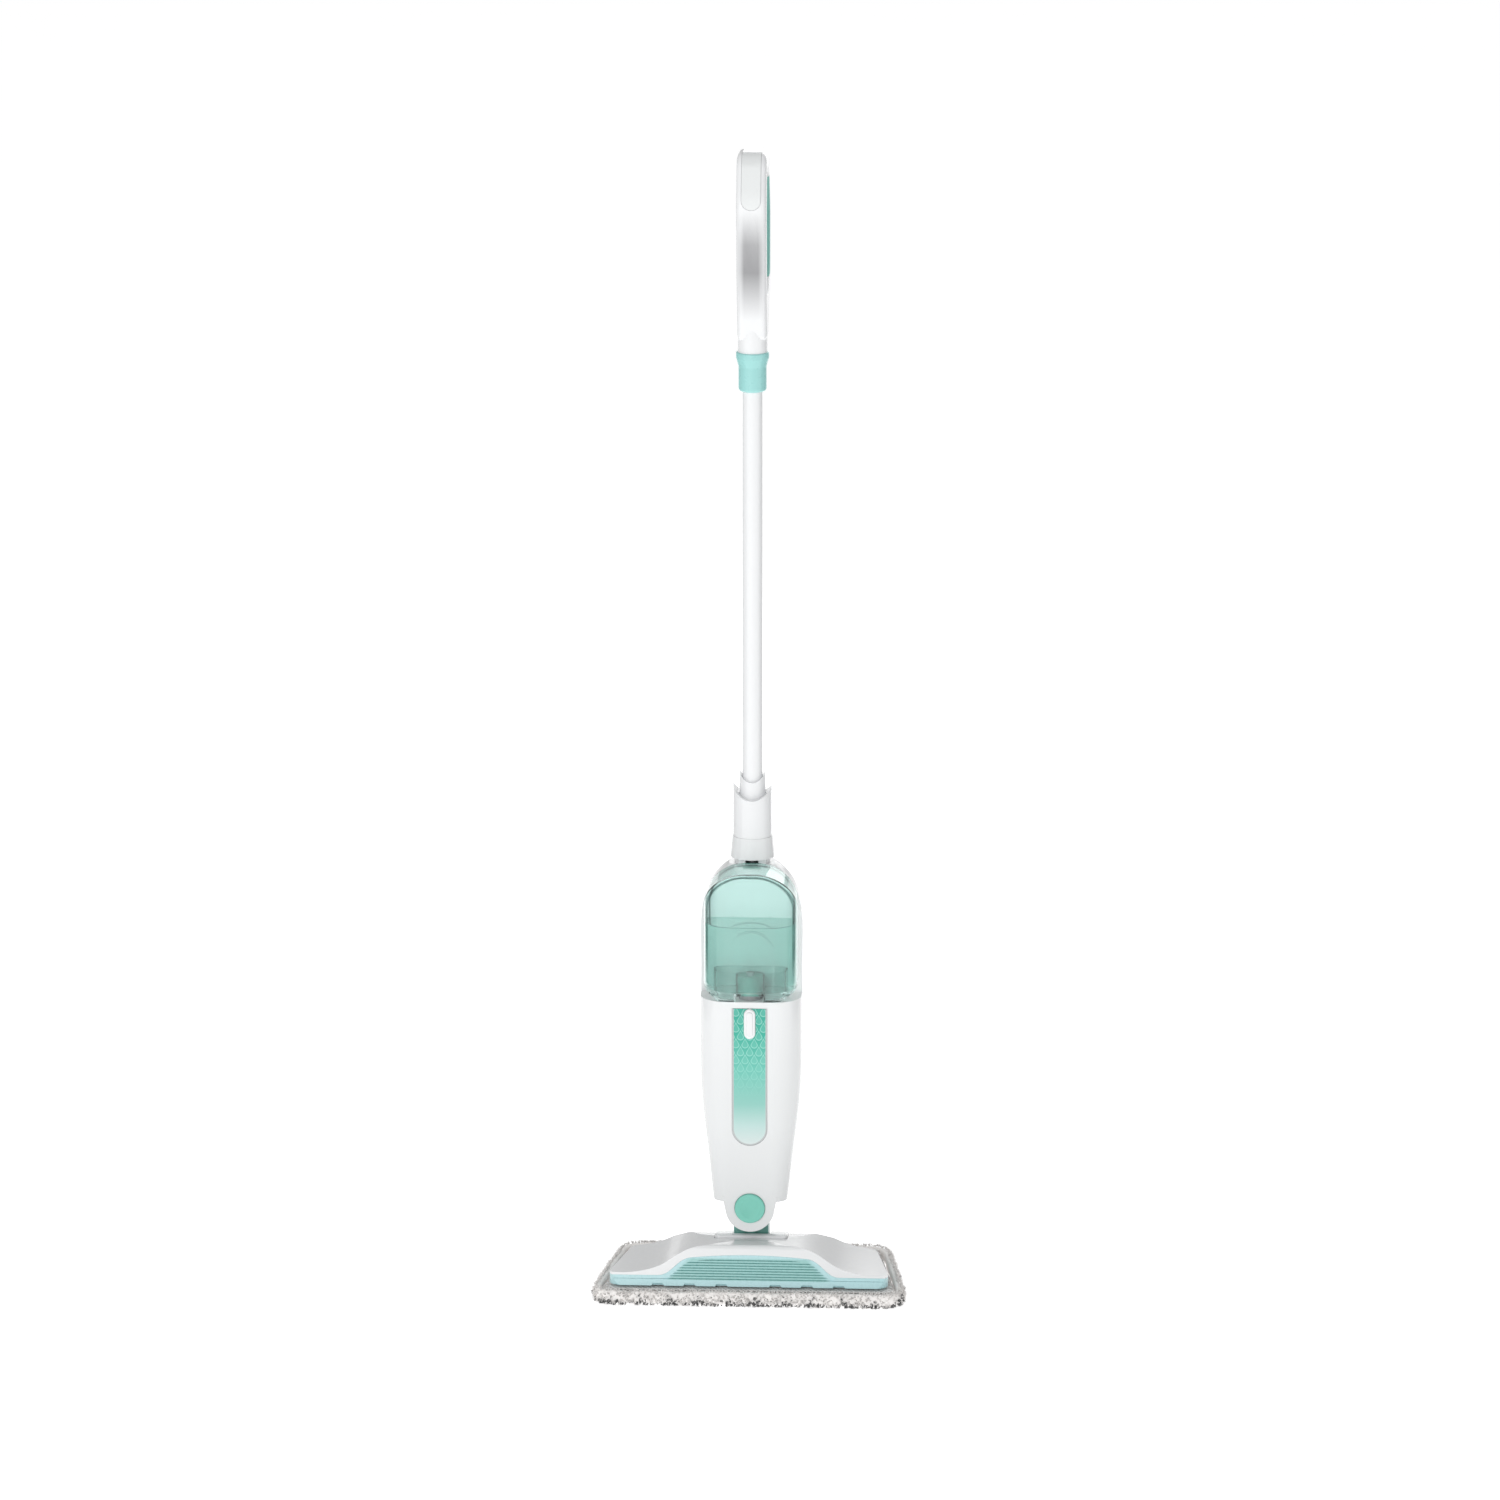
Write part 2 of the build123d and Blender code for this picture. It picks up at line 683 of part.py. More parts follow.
with BuildPart() as rear_housing:
    add(BODY_OUTER)
    add(block(-LARGE, LARGE, -LARGE, 0, 0, 600), mode=Mode.SUBTRACT)
    rear_cavity = BODY_INNER & block(-LARGE, LARGE, -1, LARGE, 90, 600)
    add(rear_cavity, mode=Mode.SUBTRACT)
    add(lobe(LOBE_GAP_Y, LOBE_BACK_Y))
    with Locations(*[(x, 0.2, z) for x, z in HOUSING_SCREWS]):
        Cylinder(4.2, 44.0, rotation=(-90, 0, 0), align=(Align.CENTER, Align.CENTER, Align.MIN))
    # Round neck that guides the pole.
    with BuildSketch(Plane.XY.offset(NECK_BOTTOM)):
        with Locations((0, POLE_Y)):
            Circle(NECK_R + 1.4)
    with BuildSketch(Plane.XY.offset(NECK_TOP)):
        with Locations((0, POLE_Y)):
            Circle(NECK_R - 0.6)
    loft()
    add(tube(0, POLE_Y, 444, NECK_BOTTOM, NECK_R - 3) & block(-LARGE, LARGE, 0.2, LARGE, 400, 500))
    add(tube(0, POLE_Y, 440, NECK_TOP + 1, 13.6), mode=Mode.SUBTRACT)
    # Pockets for the tongue, the roll pin, the screws and the cord gland.
    add(depth_rod(0, ROLL_Z, -1, LOBE_GAP_Y, CAVITY_R), mode=Mode.SUBTRACT)
    add(block(-CAVITY_R, CAVITY_R, -1, LOBE_GAP_Y, 60, ROLL_Z), mode=Mode.SUBTRACT)
    add(depth_rod(0, ROLL_Z, 0, 21, ROLL_PIN_R), mode=Mode.SUBTRACT)
    for x, z in HOUSING_SCREWS:
        add(depth_rod(x, z, -1, 60, 1.5), mode=Mode.SUBTRACT)
        add(depth_rod(x, z, 42.5, 60, 3.5), mode=Mode.SUBTRACT)
    add(depth_rod(0, GLAND_Z, 30, 60, GLAND_R - 1.5), mode=Mode.SUBTRACT)
rear_housing.part.label = "rear_housing"

with BuildPart() as housing_screws:
    for x, z in HOUSING_SCREWS:
        add(depth_rod(x, z, -1.8, 42.5, 1.5))
        add(depth_rod(x, z, 42.5, 44.3, 3.2))
        add(block(x - 1.9, x + 1.9, 43.4, 45, z - 0.4, z + 0.4), mode=Mode.SUBTRACT)
        add(block(x - 0.4, x + 0.4, 43.4, 45, z - 1.9, z + 1.9), mode=Mode.SUBTRACT)
housing_screws.part.label = "housing_screws"

with BuildPart() as roll_pin:
    add(depth_rod(0, ROLL_Z, -30, 21, ROLL_PIN_R))
    chamfer(roll_pin.edges().filter_by(GeomType.CIRCLE), length=0.6)
roll_pin.part.label = "roll_pin"

with BuildPart() as release_button:
    add(depth_rod(0, ROLL_Z, BUTTON_FRONT_Y, BUTTON_BACK_Y, BUTTON_R))
    fillet(release_button.edges().group_by(Axis.Y)[0], radius=1.6)
    # Shallow finger dish.
    with Locations((0, BUTTON_FRONT_Y - 38.6, ROLL_Z)):
        Sphere(40.0, mode=Mode.SUBTRACT)
    add(depth_rod(0, ROLL_Z, -40.5, BUTTON_BACK_Y, 7.0), mode=Mode.SUBTRACT)
release_button.part.label = "release_button"

with BuildPart() as release_spring:
    add(coil_spring(Plane((0, -40.0, ROLL_Z), x_dir=(1, 0, 0), z_dir=(0, 1, 0)), 6.4, 5.4, 0.9, 3.5))
release_spring.part.label = "release_spring"

with BuildPart() as light_pipe:
    with BuildSketch(front_plane(-43.0)):
        with Locations((0, (LIGHT_LOW + STRIP_TOP) / 2)):
            SlotOverall(STRIP_TOP - LIGHT_LOW, 2 * LIGHT_HALF, rotation=90)
    extrude(amount=5.6)
    fillet(light_pipe.faces().sort_by(Axis.Y)[0].edges(), radius=1.6)
    with BuildSketch(front_plane(-47.4)):
        with Locations((0, (LIGHT_LOW + STRIP_TOP) / 2)):
            SlotOverall(STRIP_TOP - LIGHT_LOW - 6, 6.6, rotation=90)
    extrude(amount=2.4)
    fillet(light_pipe.faces().sort_by(Axis.Y)[0].edges(), radius=1.0)
light_pipe.part.label = "light_pipe"

with BuildPart() as decor_strip:
    with BuildSketch(front_plane(-60)):
        add(strip_outline(0))
    extrude(amount=-40)
    add(BODY_OUTER, mode=Mode.INTERSECT)
    add(BODY_SKIN, mode=Mode.SUBTRACT)
    add(light_pocket.part, mode=Mode.SUBTRACT)
decor_strip.part.label = "decor_strip"


# ---------------------------------------------------------------- inside the body
with BuildPart() as boiler:
    with BuildSketch(Plane.XY.offset(178)):
        with Locations((0, 4)):
            RectangleRounded(50, 38, 8)
    extrude(amount=84)
    fillet(boiler.edges().group_by(Axis.Z)[-1], radius=3)
    fillet(boiler.edges().group_by(Axis.Z)[0], radius=3)
    for boss_x in (-15, 15):
        add(tube(boss_x, 4, 260, 268, 6))
    add(tube(0, 4, 172, 180, 6))
    # Cooling-fin like ribs of the casting.
    with BuildSketch(front_plane(-18)):
        with GridLocations(0, 14, 1, 5):
            with Locations((0, 220)):
                Rectangle(44, 3)
    extrude(amount=-4)
boiler.part.label = "boiler"

with BuildPart() as boiler_terminals:
    for boss_x in (-15, 15):
        add(tube(boss_x, 4, 268, 274, 2.5))
        add(block(boss_x - 3, boss_x + 3, 3.6, 4.4, 274, 282))
boiler_terminals.part.label = "boiler_terminals"

with BuildPart() as thermostat:
    add(cross_rod(25, 31, 4, 235, 9))
    add(cross_rod(31, 35, 4, 235, 6))
thermostat.part.label = "thermostat"

with BuildPart() as thermal_fuse:
    add(tube(-28.2, 4, 205, 235, 3.2))
    add(tube(-28.2, 4, 196, 205, 0.6))
    add(tube(-28.2, 4, 235, 244, 0.6))
thermal_fuse.part.label = "thermal_fuse"

with BuildPart() as steam_hose:
    add(tube(0, 4, 116, 172, 5, 3))
steam_hose.part.label = "steam_hose"

with BuildPart() as check_valve:
    add(tube(0, POLE_Y, 284, 304, 6.5))
    add(tube(0, POLE_Y, 280, 308, 3.2))
    chamfer(check_valve.edges().filter_by(GeomType.CIRCLE), length=0.4)
check_valve.part.label = "check_valve"

with BuildPart() as water_hoses:
    add(tube(0, POLE_Y, 262, 280, 3.2, 2))
    add(tube(0, POLE_Y, 308, 328, 3.2, 2))
water_hoses.part.label = "water_hoses"

with BuildPart() as pump_cylinder:
    add(tube(0, POLE_Y, 328, 420, 11))
    add(tube(0, POLE_Y, 332, 416, 8.1), mode=Mode.SUBTRACT)
    add(tube(0, POLE_Y, 410, 421, 3.05), mode=Mode.SUBTRACT)
pump_cylinder.part.label = "pump_cylinder"

with BuildPart() as tank_receptacle:
    add(tube(0, CAP_Y, 300, 321, 11.9))
    add(tube(0, CAP_Y, 303, 322, 8), mode=Mode.SUBTRACT)
    add(tube(0, CAP_Y, 299, 304, 2), mode=Mode.SUBTRACT)
tank_receptacle.part.label = "tank_receptacle"

with BuildPart() as receptacle_seal:
    add(tube(0, CAP_Y, 321, 323.6, 11.4, 8))
receptacle_seal.part.label = "receptacle_seal"

with BuildPart() as inlet_filter:
    add(tube(0, CAP_Y, 303, 319, 7.6, 5))
inlet_filter.part.label = "inlet_filter"

with BuildPart() as indicator_board:
    add(block(-10, 10, -39.6, -38, 272, 298))
    with Locations((0, -39.6, 290)):
        Cylinder(2.5, 3, rotation=(90, 0, 0), align=(Align.CENTER, Align.CENTER, Align.MIN))
indicator_board.part.label = "indicator_board"

with BuildPart() as terminal_block:
    add(block(-14, 14, 28, 40, 214, 228))
    for screw_x in (-9, 0, 9):
        add(tube(screw_x, 34, 228, 229.5, 2.4))
terminal_block.part.label = "terminal_block"

with BuildPart() as cord_gland:
    add(depth_rod(0, GLAND_Z, 46.6, 52.0, GLAND_R))
    add(depth_rod(0, GLAND_Z, 40.0, 46.6, GLAND_R - 1.5))
    fillet(cord_gland.edges().group_by(Axis.Y)[-1], radius=1.5)
    add(depth_rod(0, GLAND_Z, 30, 60, 3.7), mode=Mode.SUBTRACT)
cord_gland.part.label = "cord_gland"


def hook_form(base_y, pivot_z, direction):
    """Cord hook: round foot, level arm and a tip that points up or down."""
    reach = base_y + 27
    with BuildPart() as hook:
        add(depth_rod(0, pivot_z, base_y, base_y + 5, 9))
        with BuildSketch(side_plane(-8)):
            with BuildLine():
                FilletPolyline(
                    (base_y + 1, pivot_z - direction * 4),
                    (reach, pivot_z - direction * 4),
                    (reach, pivot_z + direction * 22),
                    (reach - 5, pivot_z + direction * 22),
                    (reach - 5, pivot_z + direction * 1),
                    (base_y + 1, pivot_z + direction * 1),
                    radius=[5, 2, 2, 3],
                )
                Line((base_y + 1, pivot_z + direction * 1), (base_y + 1, pivot_z - direction * 4))
            make_face()
        extrude(amount=16)
    return hook.part


with BuildPart() as lower_cord_hook:
    add(hook_form(46.6, HOOK_Z, -1))
lower_cord_hook.part.label = "lower_cord_hook"


def saddle(radius, dip):
    """Round groove along Y that scallops the top of a sleeve."""
    return depth_rod(0, dip + radius, -60, 80, radius) + block(
        -radius, radius, -60, 80, dip + radius, dip + radius + 80
    )


def saddle_radius(half, rise):
    """Radius of an arc with the given half chord and rise."""
    return (half * half + rise * rise) / (2 * rise)


with BuildPart() as neck_collar:
    add(tube(0, POLE_Y, NECK_TOP, COLLAR_TIP, COLLAR_R, SLEEVE_R + RUNNING_FIT))
    add(saddle(saddle_radius(COLLAR_R, COLLAR_TIP - COLLAR_DIP), COLLAR_DIP), mode=Mode.SUBTRACT)
neck_collar.part.label = "neck_collar"

with BuildPart() as pole_bushing:
    add(tube(0, POLE_Y, NECK_BOTTOM, NECK_TOP - 8, 13.6, POLE_R + RUNNING_FIT))
pole_bushing.part.label = "pole_bushing"


# ---------------------------------------------------------------- water tank
def tank_form(inset):
    """Outer form of the tank: round-shouldered in front view, D-shaped in plan."""
    half = TANK_HALF - inset
    with BuildPart() as form:
        with BuildSketch(front_plane(TANK_BACK_Y - inset)):
            with BuildLine():
                FilletPolyline(
                    (-half + 16, TANK_BOTTOM + inset),
                    (half - 16, TANK_BOTTOM + inset),
                    (half, TANK_BOTTOM + 9 + inset),
                    (half, TANK_TOP - inset),
                    (-half, TANK_TOP - inset),
                    (-half, TANK_BOTTOM + 9 + inset),
                    radius=[7, 7, 7, TANK_ROUND - inset, TANK_ROUND - inset, 7],
                    close=True,
                )
            make_face()
        extrude(amount=TANK_BACK_Y - TANK_FRONT_Y - 2 * inset)
        with BuildSketch(Plane.XY.offset(300)):
            with Locations((0, TANK_FRONT_Y + inset)):
                plan = Rectangle(2 * half, 60, align=(Align.CENTER, Align.MIN))
            fillet(plan.vertices().group_by(Axis.Y)[0], radius=30)
        extrude(amount=170, mode=Mode.INTERSECT)
    return form.part


def tank_arch(grow):
    """Arched recess in the middle of the tank's underside."""
    return block(
        -TANK_ARCH_HALF - grow, TANK_ARCH_HALF + grow, -80, 0, TANK_BOTTOM - 5, TANK_ARCH_TOP + grow
    )


def baffle_plan(inset):
    """Plan of the baffle that stands round the tank's cap."""
    with BuildSketch() as area:
        with Locations((0, (BAFFLE_FRONT_Y + BAFFLE_BACK_Y) / 2)):
            RectangleRounded(
                2 * (BAFFLE_HALF - inset), BAFFLE_BACK_Y - BAFFLE_FRONT_Y - 2 * inset, 14 - inset
            )
    return area.sketch


def rib_outline(inset):
    """Front outline of the arched rib on the tank's back wall."""
    half = RIB_HALF - inset
    spring_line = RIB_TOP - RIB_HALF
    with BuildSketch() as area:
        with BuildLine():
            base = TANK_BOTTOM + 1
            legs = Polyline((-half, spring_line), (-half, base), (half, base), (half, spring_line))
            ThreePointArc(legs @ 1, (0, spring_line + half), legs @ 0)
        make_face()
    return area.sketch


with BuildPart() as tank_shell:
    add(tank_form(0))
    add(tank_form(TANK_WALL), mode=Mode.SUBTRACT)
    with BuildSketch(Plane.XY.offset(TANK_BOTTOM + 1)):
        add(baffle_plan(0))
        add(baffle_plan(THIN), mode=Mode.SUBTRACT)
    extrude(amount=BAFFLE_TOP - TANK_BOTTOM - 1)
    with BuildSketch(front_plane(TANK_BACK_Y - 1)):
        add(rib_outline(0))
        add(rib_outline(THIN), mode=Mode.SUBTRACT)
    extrude(amount=TANK_WALL - 1 + RIB_DEPTH)
    # Drain notches through the foot of the baffle.
    for x in (-BAFFLE_HALF, BAFFLE_HALF):
        floor = TANK_BOTTOM + TANK_WALL
        add(block(x - 3, x + 3, CAP_Y - 3, CAP_Y + 3, floor, floor + 4), mode=Mode.SUBTRACT)
    add(tank_arch(TANK_WALL) & tank_form(0))
    add(tank_arch(0), mode=Mode.SUBTRACT)
    add(tube(0, CAP_Y, TANK_ARCH_TOP, CAP_TOP + 1, CAP_R + RUNNING_FIT + 2.2))
    add(tube(0, CAP_Y, 300, CAP_TOP + 2, CAP_R + RUNNING_FIT), mode=Mode.SUBTRACT)
tank_shell.part.label = "tank_shell"

with BuildPart() as tank_cap:
    add(tube(0, CAP_Y, TANK_ARCH_TOP, CAP_TOP, CAP_R))
    add(tube(0, CAP_Y, TANK_ARCH_TOP + 2, CAP_TOP - 2, 9.4), mode=Mode.SUBTRACT)
    add(tube(0, CAP_Y, 320, 350, 4.05), mode=Mode.SUBTRACT)
    add(block(-10, 10, CAP_Y - 1.2, CAP_Y + 1.2, 320, TANK_ARCH_TOP + 1.2), mode=Mode.SUBTRACT)
tank_cap.part.label = "tank_cap"

with BuildPart() as valve_poppet:
    add(tube(0, CAP_Y, TANK_ARCH_TOP + 0.4, CAP_TOP + 4, 4.0))
    add(tube(0, CAP_Y, TANK_ARCH_TOP + 2.1, TANK_ARCH_TOP + 4, 7.5))
valve_poppet.part.label = "valve_poppet"

with BuildPart() as valve_spring:
    add(coil_spring(Plane((0, CAP_Y, TANK_ARCH_TOP + 4.6)), 9.8, 6.0, 0.8, 4))
valve_spring.part.label = "valve_spring"

with BuildPart() as tank_catch:
    add(block(-9, 9, BAY_WALL_Y - 0.9, BAY_WALL_Y, 446, 449))
    fillet(tank_catch.edges().filter_by(Axis.Z), radius=0.3)
tank_catch.part.label = "tank_catch"


# ---------------------------------------------------------------- pole and pump
with BuildPart() as pole_tube:
    add(tube(0, POLE_Y, POLE_BOTTOM, POLE_TOP, POLE_R, POLE_BORE_R))
pole_tube.part.label = "pole_tube"

with BuildPart() as inner_sleeve:
    add(tube(0, POLE_Y, SLEEVE_BOTTOM, SLEEVE_TIP, SLEEVE_R, POLE_R))
    add(saddle(saddle_radius(SLEEVE_R, SLEEVE_TIP - SLEEVE_DIP), SLEEVE_DIP), mode=Mode.SUBTRACT)
inner_sleeve.part.label = "inner_sleeve"

with BuildPart() as pump_rod:
    add(tube(0, POLE_Y, POLE_BOTTOM, POLE_BOTTOM + 18, POLE_BORE_R))
    add(tube(0, POLE_Y, 446, POLE_BOTTOM, 3.0))
    add(tube(0, POLE_Y, 446, 449, 8.0))
    add(tube(0, POLE_Y, 372, 446, 3.0))
    add(tube(0, POLE_Y, 372, 380, 8.05))
pump_rod.part.label = "pump_rod"

with BuildPart() as pump_spring:
    add(coil_spring(Plane((0, POLE_Y, 421.0)), 24.0, 6.2, 1.1, 5))
pump_spring.part.label = "pump_spring"


# ---------------------------------------------------------------- handle
def outer_outline(inset):
    """Side outline of the handle, moved inwards by inset."""
    with BuildSketch() as area:
        with BuildLine():
            FilletPolyline(*HANDLE_OUTER, radius=HANDLE_OUTER_RADII, close=True)
        make_face()
        if inset > 0:
            offset(amount=-inset)
    return area.sketch


def hand_opening(grow):
    """Side outline of the hand opening, made larger by grow."""
    with BuildSketch() as area:
        with BuildLine():
            FilletPolyline(*HANDLE_INNER, radius=HANDLE_INNER_RADII, close=True)
        make_face()
        if grow > 0:
            offset(amount=grow)
    return area.sketch


def handle_loop():
    """Loop handle before its trims are let in."""
    with BuildPart() as loop:
        with BuildSketch(side_plane(-HANDLE_HALF)):
            add(outer_outline(0))
            add(hand_opening(0), mode=Mode.SUBTRACT)
        extrude(amount=2 * HANDLE_HALF)
        side_edges = loop.faces().filter_by(Axis.X).edges()
        fillet(side_edges, radius=HANDLE_ROUND)
    return loop.part


def handle_skin(inset):
    """Volume inside the handle's outer outline, moved inwards by inset."""
    with BuildPart() as core:
        with BuildSketch(side_plane(-HANDLE_HALF - 5)):
            add(outer_outline(inset))
        extrude(amount=2 * HANDLE_HALF + 10)
    return core.part


def trim_outline(grow):
    """Tongue that runs up the front of the handle, rounded at its lower end."""
    half = TRIM_HALF + grow
    with BuildSketch() as area:
        with Locations((0, TRIM_LOW + TRIM_HALF)):
            Circle(half)
            Rectangle(2 * half, 90, align=(Align.CENTER, Align.MIN))
    return area.sketch


def trim_volume(grow, depth):
    """Shallow layer of the handle's front under the tongue."""
    with BuildPart() as volume:
        with BuildSketch(front_plane(8)):
            add(trim_outline(grow))
        extrude(amount=60)
        add(handle_skin(depth), mode=Mode.SUBTRACT)
    return volume.part


LOOP = handle_loop()
grip_zone = block(-30, 30, GRIP_FRONT_Y, 90, GRIP_LOW, GRIP_HIGH)

with BuildPart() as handle_core:
    with BuildSketch(side_plane(-8)):
        add(outer_outline(5.5))
        add(hand_opening(5.5), mode=Mode.SUBTRACT)
    extrude(amount=16)

with BuildPart() as handle_shell:
    add(LOOP)
    stem = tube(0, POLE_Y, HANDLE_BOTTOM, 1032, HANDLE_HALF - 0.3)
    add(stem)
    add(grip_zone - handle_core.part, mode=Mode.SUBTRACT)
    add(trim_volume(0.35, 1.6), mode=Mode.SUBTRACT)
    # Shallow hollow down the front of the stem.
    with BuildSketch(Plane.XY.offset(1030)):
        with Locations((0, -61.5)):
            Circle(44)
    with BuildSketch(Plane.XY.offset(1085)):
        with Locations((0, -62)):
            Circle(44)
    with BuildSketch(Plane.XY.offset(1136)):
        with Locations((0, -66)):
            Circle(44)
    loft(mode=Mode.SUBTRACT)
    add(tube(0, POLE_Y, 980, POLE_TOP, POLE_R), mode=Mode.SUBTRACT)
handle_shell.part.label = "handle_shell"

with BuildPart() as grip_insert:
    add(LOOP)
    add(block(-30, 30, GRIP_FRONT_Y + 0.2, 90, GRIP_LOW + 0.2, GRIP_HIGH - 0.2), mode=Mode.INTERSECT)
    add(handle_core.part, mode=Mode.SUBTRACT)
grip_insert.part.label = "grip_insert"

with BuildPart() as handle_front_trim:
    add(trim_volume(0, 1.5))
    add(LOOP, mode=Mode.INTERSECT)
handle_front_trim.part.label = "handle_front_trim"

with BuildPart() as handle_cuff:
    with BuildSketch(side_plane(0)):
        with BuildLine():
            FilletPolyline(
                (POLE_Y - POLE_R, CUFF_BOTTOM),
                (POLE_Y - 14.4, CUFF_BOTTOM),
                (POLE_Y - 14.4, CUFF_BOTTOM + 26),
                (POLE_Y - 17.0, HANDLE_BOTTOM - 6),
                (POLE_Y - 17.0, HANDLE_BOTTOM),
                (POLE_Y - POLE_R, HANDLE_BOTTOM),
                radius=[3.5, 6, 1.5, 1.5],
            )
            Line((POLE_Y - POLE_R, HANDLE_BOTTOM), (POLE_Y - POLE_R, CUFF_BOTTOM))
        make_face()
    revolve(axis=Axis((0, POLE_Y, 0), (0, 0, 1)))
    # Flat pad behind the cuff that carries the swivelling hook.
    add(depth_rod(0, 968, POLE_Y + 12, POLE_Y + 17.5, 9) - tube(0, POLE_Y, 940, 995, 13))
    add(depth_rod(0, 968, POLE_Y + 11, POLE_Y + 20, 3.0), mode=Mode.SUBTRACT)
handle_cuff.part.label = "handle_cuff"

with BuildPart() as hook_pin:
    add(depth_rod(0, 968, POLE_Y + 11, POLE_Y + 24, 3.0))
    add(tube(0, POLE_Y, 940, 995, 11.4), mode=Mode.SUBTRACT)
hook_pin.part.label = "hook_pin"

with BuildPart() as upper_cord_hook:
    add(hook_form(POLE_Y + 17.8, 968, 1))
    add(depth_rod(0, 968, 0, POLE_Y + 24.2, 3.0 + RUNNING_FIT), mode=Mode.SUBTRACT)
upper_cord_hook.part.label = "upper_cord_hook"


# ---------------------------------------------------------------- export
PIECES = [
    pad_sole.part, pad_top_mesh.part, pad_border.part, pad_hook_strips.part,
    head_base.part, ribbed_front_panel.part, head_top_cover.part, ankle_cradle.part,
    pitch_pin.part, steam_manifold.part, steam_elbow.part, head_screws.part,
    ankle_yoke.part, pitch_washers.part,
    front_housing.part, rear_housing.part, housing_screws.part, roll_pin.part,
    release_button.part, release_spring.part, light_pipe.part, decor_strip.part,
    boiler.part, boiler_terminals.part, thermostat.part, thermal_fuse.part,
    steam_hose.part, check_valve.part, water_hoses.part, pump_cylinder.part,
    tank_receptacle.part, receptacle_seal.part, inlet_filter.part, indicator_board.part,
    terminal_block.part, cord_gland.part, lower_cord_hook.part, neck_collar.part,
    pole_bushing.part, tank_catch.part,
    tank_shell.part, tank_cap.part, valve_poppet.part, valve_spring.part,
    pole_tube.part, inner_sleeve.part, pump_rod.part, pump_spring.part,
    handle_shell.part, grip_insert.part, handle_front_trim.part, handle_cuff.part,
    hook_pin.part, upper_cord_hook.part,
]

os.makedirs("parts", exist_ok=True)
for piece in PIECES:
    export_step(piece, f"parts/{piece.label}.step")
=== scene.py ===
import json
import math
import random
import bmesh
import bpy
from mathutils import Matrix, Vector, noise


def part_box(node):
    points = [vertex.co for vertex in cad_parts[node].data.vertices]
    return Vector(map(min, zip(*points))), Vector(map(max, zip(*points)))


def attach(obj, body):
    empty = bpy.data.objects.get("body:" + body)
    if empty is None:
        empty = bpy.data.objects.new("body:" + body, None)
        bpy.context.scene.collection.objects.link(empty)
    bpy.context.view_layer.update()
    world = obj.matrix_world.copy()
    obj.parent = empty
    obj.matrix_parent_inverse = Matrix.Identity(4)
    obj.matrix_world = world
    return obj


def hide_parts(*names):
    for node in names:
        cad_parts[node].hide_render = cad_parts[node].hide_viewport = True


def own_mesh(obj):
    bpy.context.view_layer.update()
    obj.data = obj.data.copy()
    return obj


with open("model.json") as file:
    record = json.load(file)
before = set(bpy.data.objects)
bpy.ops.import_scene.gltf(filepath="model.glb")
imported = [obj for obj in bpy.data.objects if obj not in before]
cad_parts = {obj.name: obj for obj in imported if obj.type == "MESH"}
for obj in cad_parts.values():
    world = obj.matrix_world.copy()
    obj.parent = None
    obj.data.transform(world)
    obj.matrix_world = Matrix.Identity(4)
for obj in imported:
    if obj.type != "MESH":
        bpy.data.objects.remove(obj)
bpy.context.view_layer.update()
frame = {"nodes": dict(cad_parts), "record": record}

MM = 0.001
SEED = 7
WHITE = (0.86, 0.87, 0.88)

# The head's sloping front face: the height and place of its foot, and its lean.
FACE_FOOT_Z = 17.5 * MM
FACE_FOOT_Y = -74.0 * MM
FACE_LEAN = 0.4746

# The ribbed field on that face, which narrows as it rises.
FIELD_LOW = 22.6 * MM
FIELD_HIGH = 44.6 * MM
FIELD_HALF = 86.0 * MM
FIELD_TAPER = 22.0 * MM

# The tank's rounded top corners, and the height of the water in it.
TANK_ROUND = 42 * MM
WATER_LEVEL = 396 * MM

# The pad's border, its rounded corners and its outline's taper from front to back.
EDGE_WIDTH = 13 * MM
PAD_CORNER = 20 * MM
PAD_TAPER = 23.6 * MM


# ---------------------------------------------------------------- shared tools
def new_object(name, data):
    thing = bpy.data.objects.new(name, data)
    bpy.context.collection.objects.link(thing)
    return thing


def new_piece(name, verts, faces, material, smooth=True):
    mesh = bpy.data.meshes.new(name)
    mesh.from_pydata([tuple(v) for v in verts], [], faces)
    mesh.update()
    if smooth:
        mesh.polygons.foreach_set("use_smooth", [True] * len(mesh.polygons))
    piece = new_object(name, mesh)
    piece.data.materials.append(material)
    return piece


def aim(thing, direction):
    """Turns a camera or a light to look along a direction."""
    thing.rotation_mode = "QUATERNION"
    thing.rotation_quaternion = direction.to_track_quat("-Z", "Y")


# ---------------------------------------------------------------- camera and light
def make_camera():
    """Long lens, slightly above the object and slightly to its right."""
    azimuth = math.radians(3.0)
    elevation = math.radians(14.0)
    distance = 9.0
    view_height = 1.545
    target = Vector((-0.002, 0.0, 0.573))
    back = Vector((
        math.sin(azimuth) * math.cos(elevation),
        -math.cos(azimuth) * math.cos(elevation),
        math.sin(elevation),
    ))
    data = bpy.data.cameras.new("camera")
    data.sensor_width = 36.0
    data.lens = data.sensor_width * distance / view_height
    camera = new_object("camera", data)
    camera.location = target + back * distance
    aim(camera, -back)
    bpy.context.scene.camera = camera


def area_light(name, place, target, size, power):
    """Soft rectangular light pointing at a spot."""
    data = bpy.data.lights.new(name, "AREA")
    data.shape = "RECTANGLE"
    data.size, data.size_y = size
    data.energy = power
    light = new_object(name, data)
    light.location = place
    aim(light, Vector(target) - Vector(place))


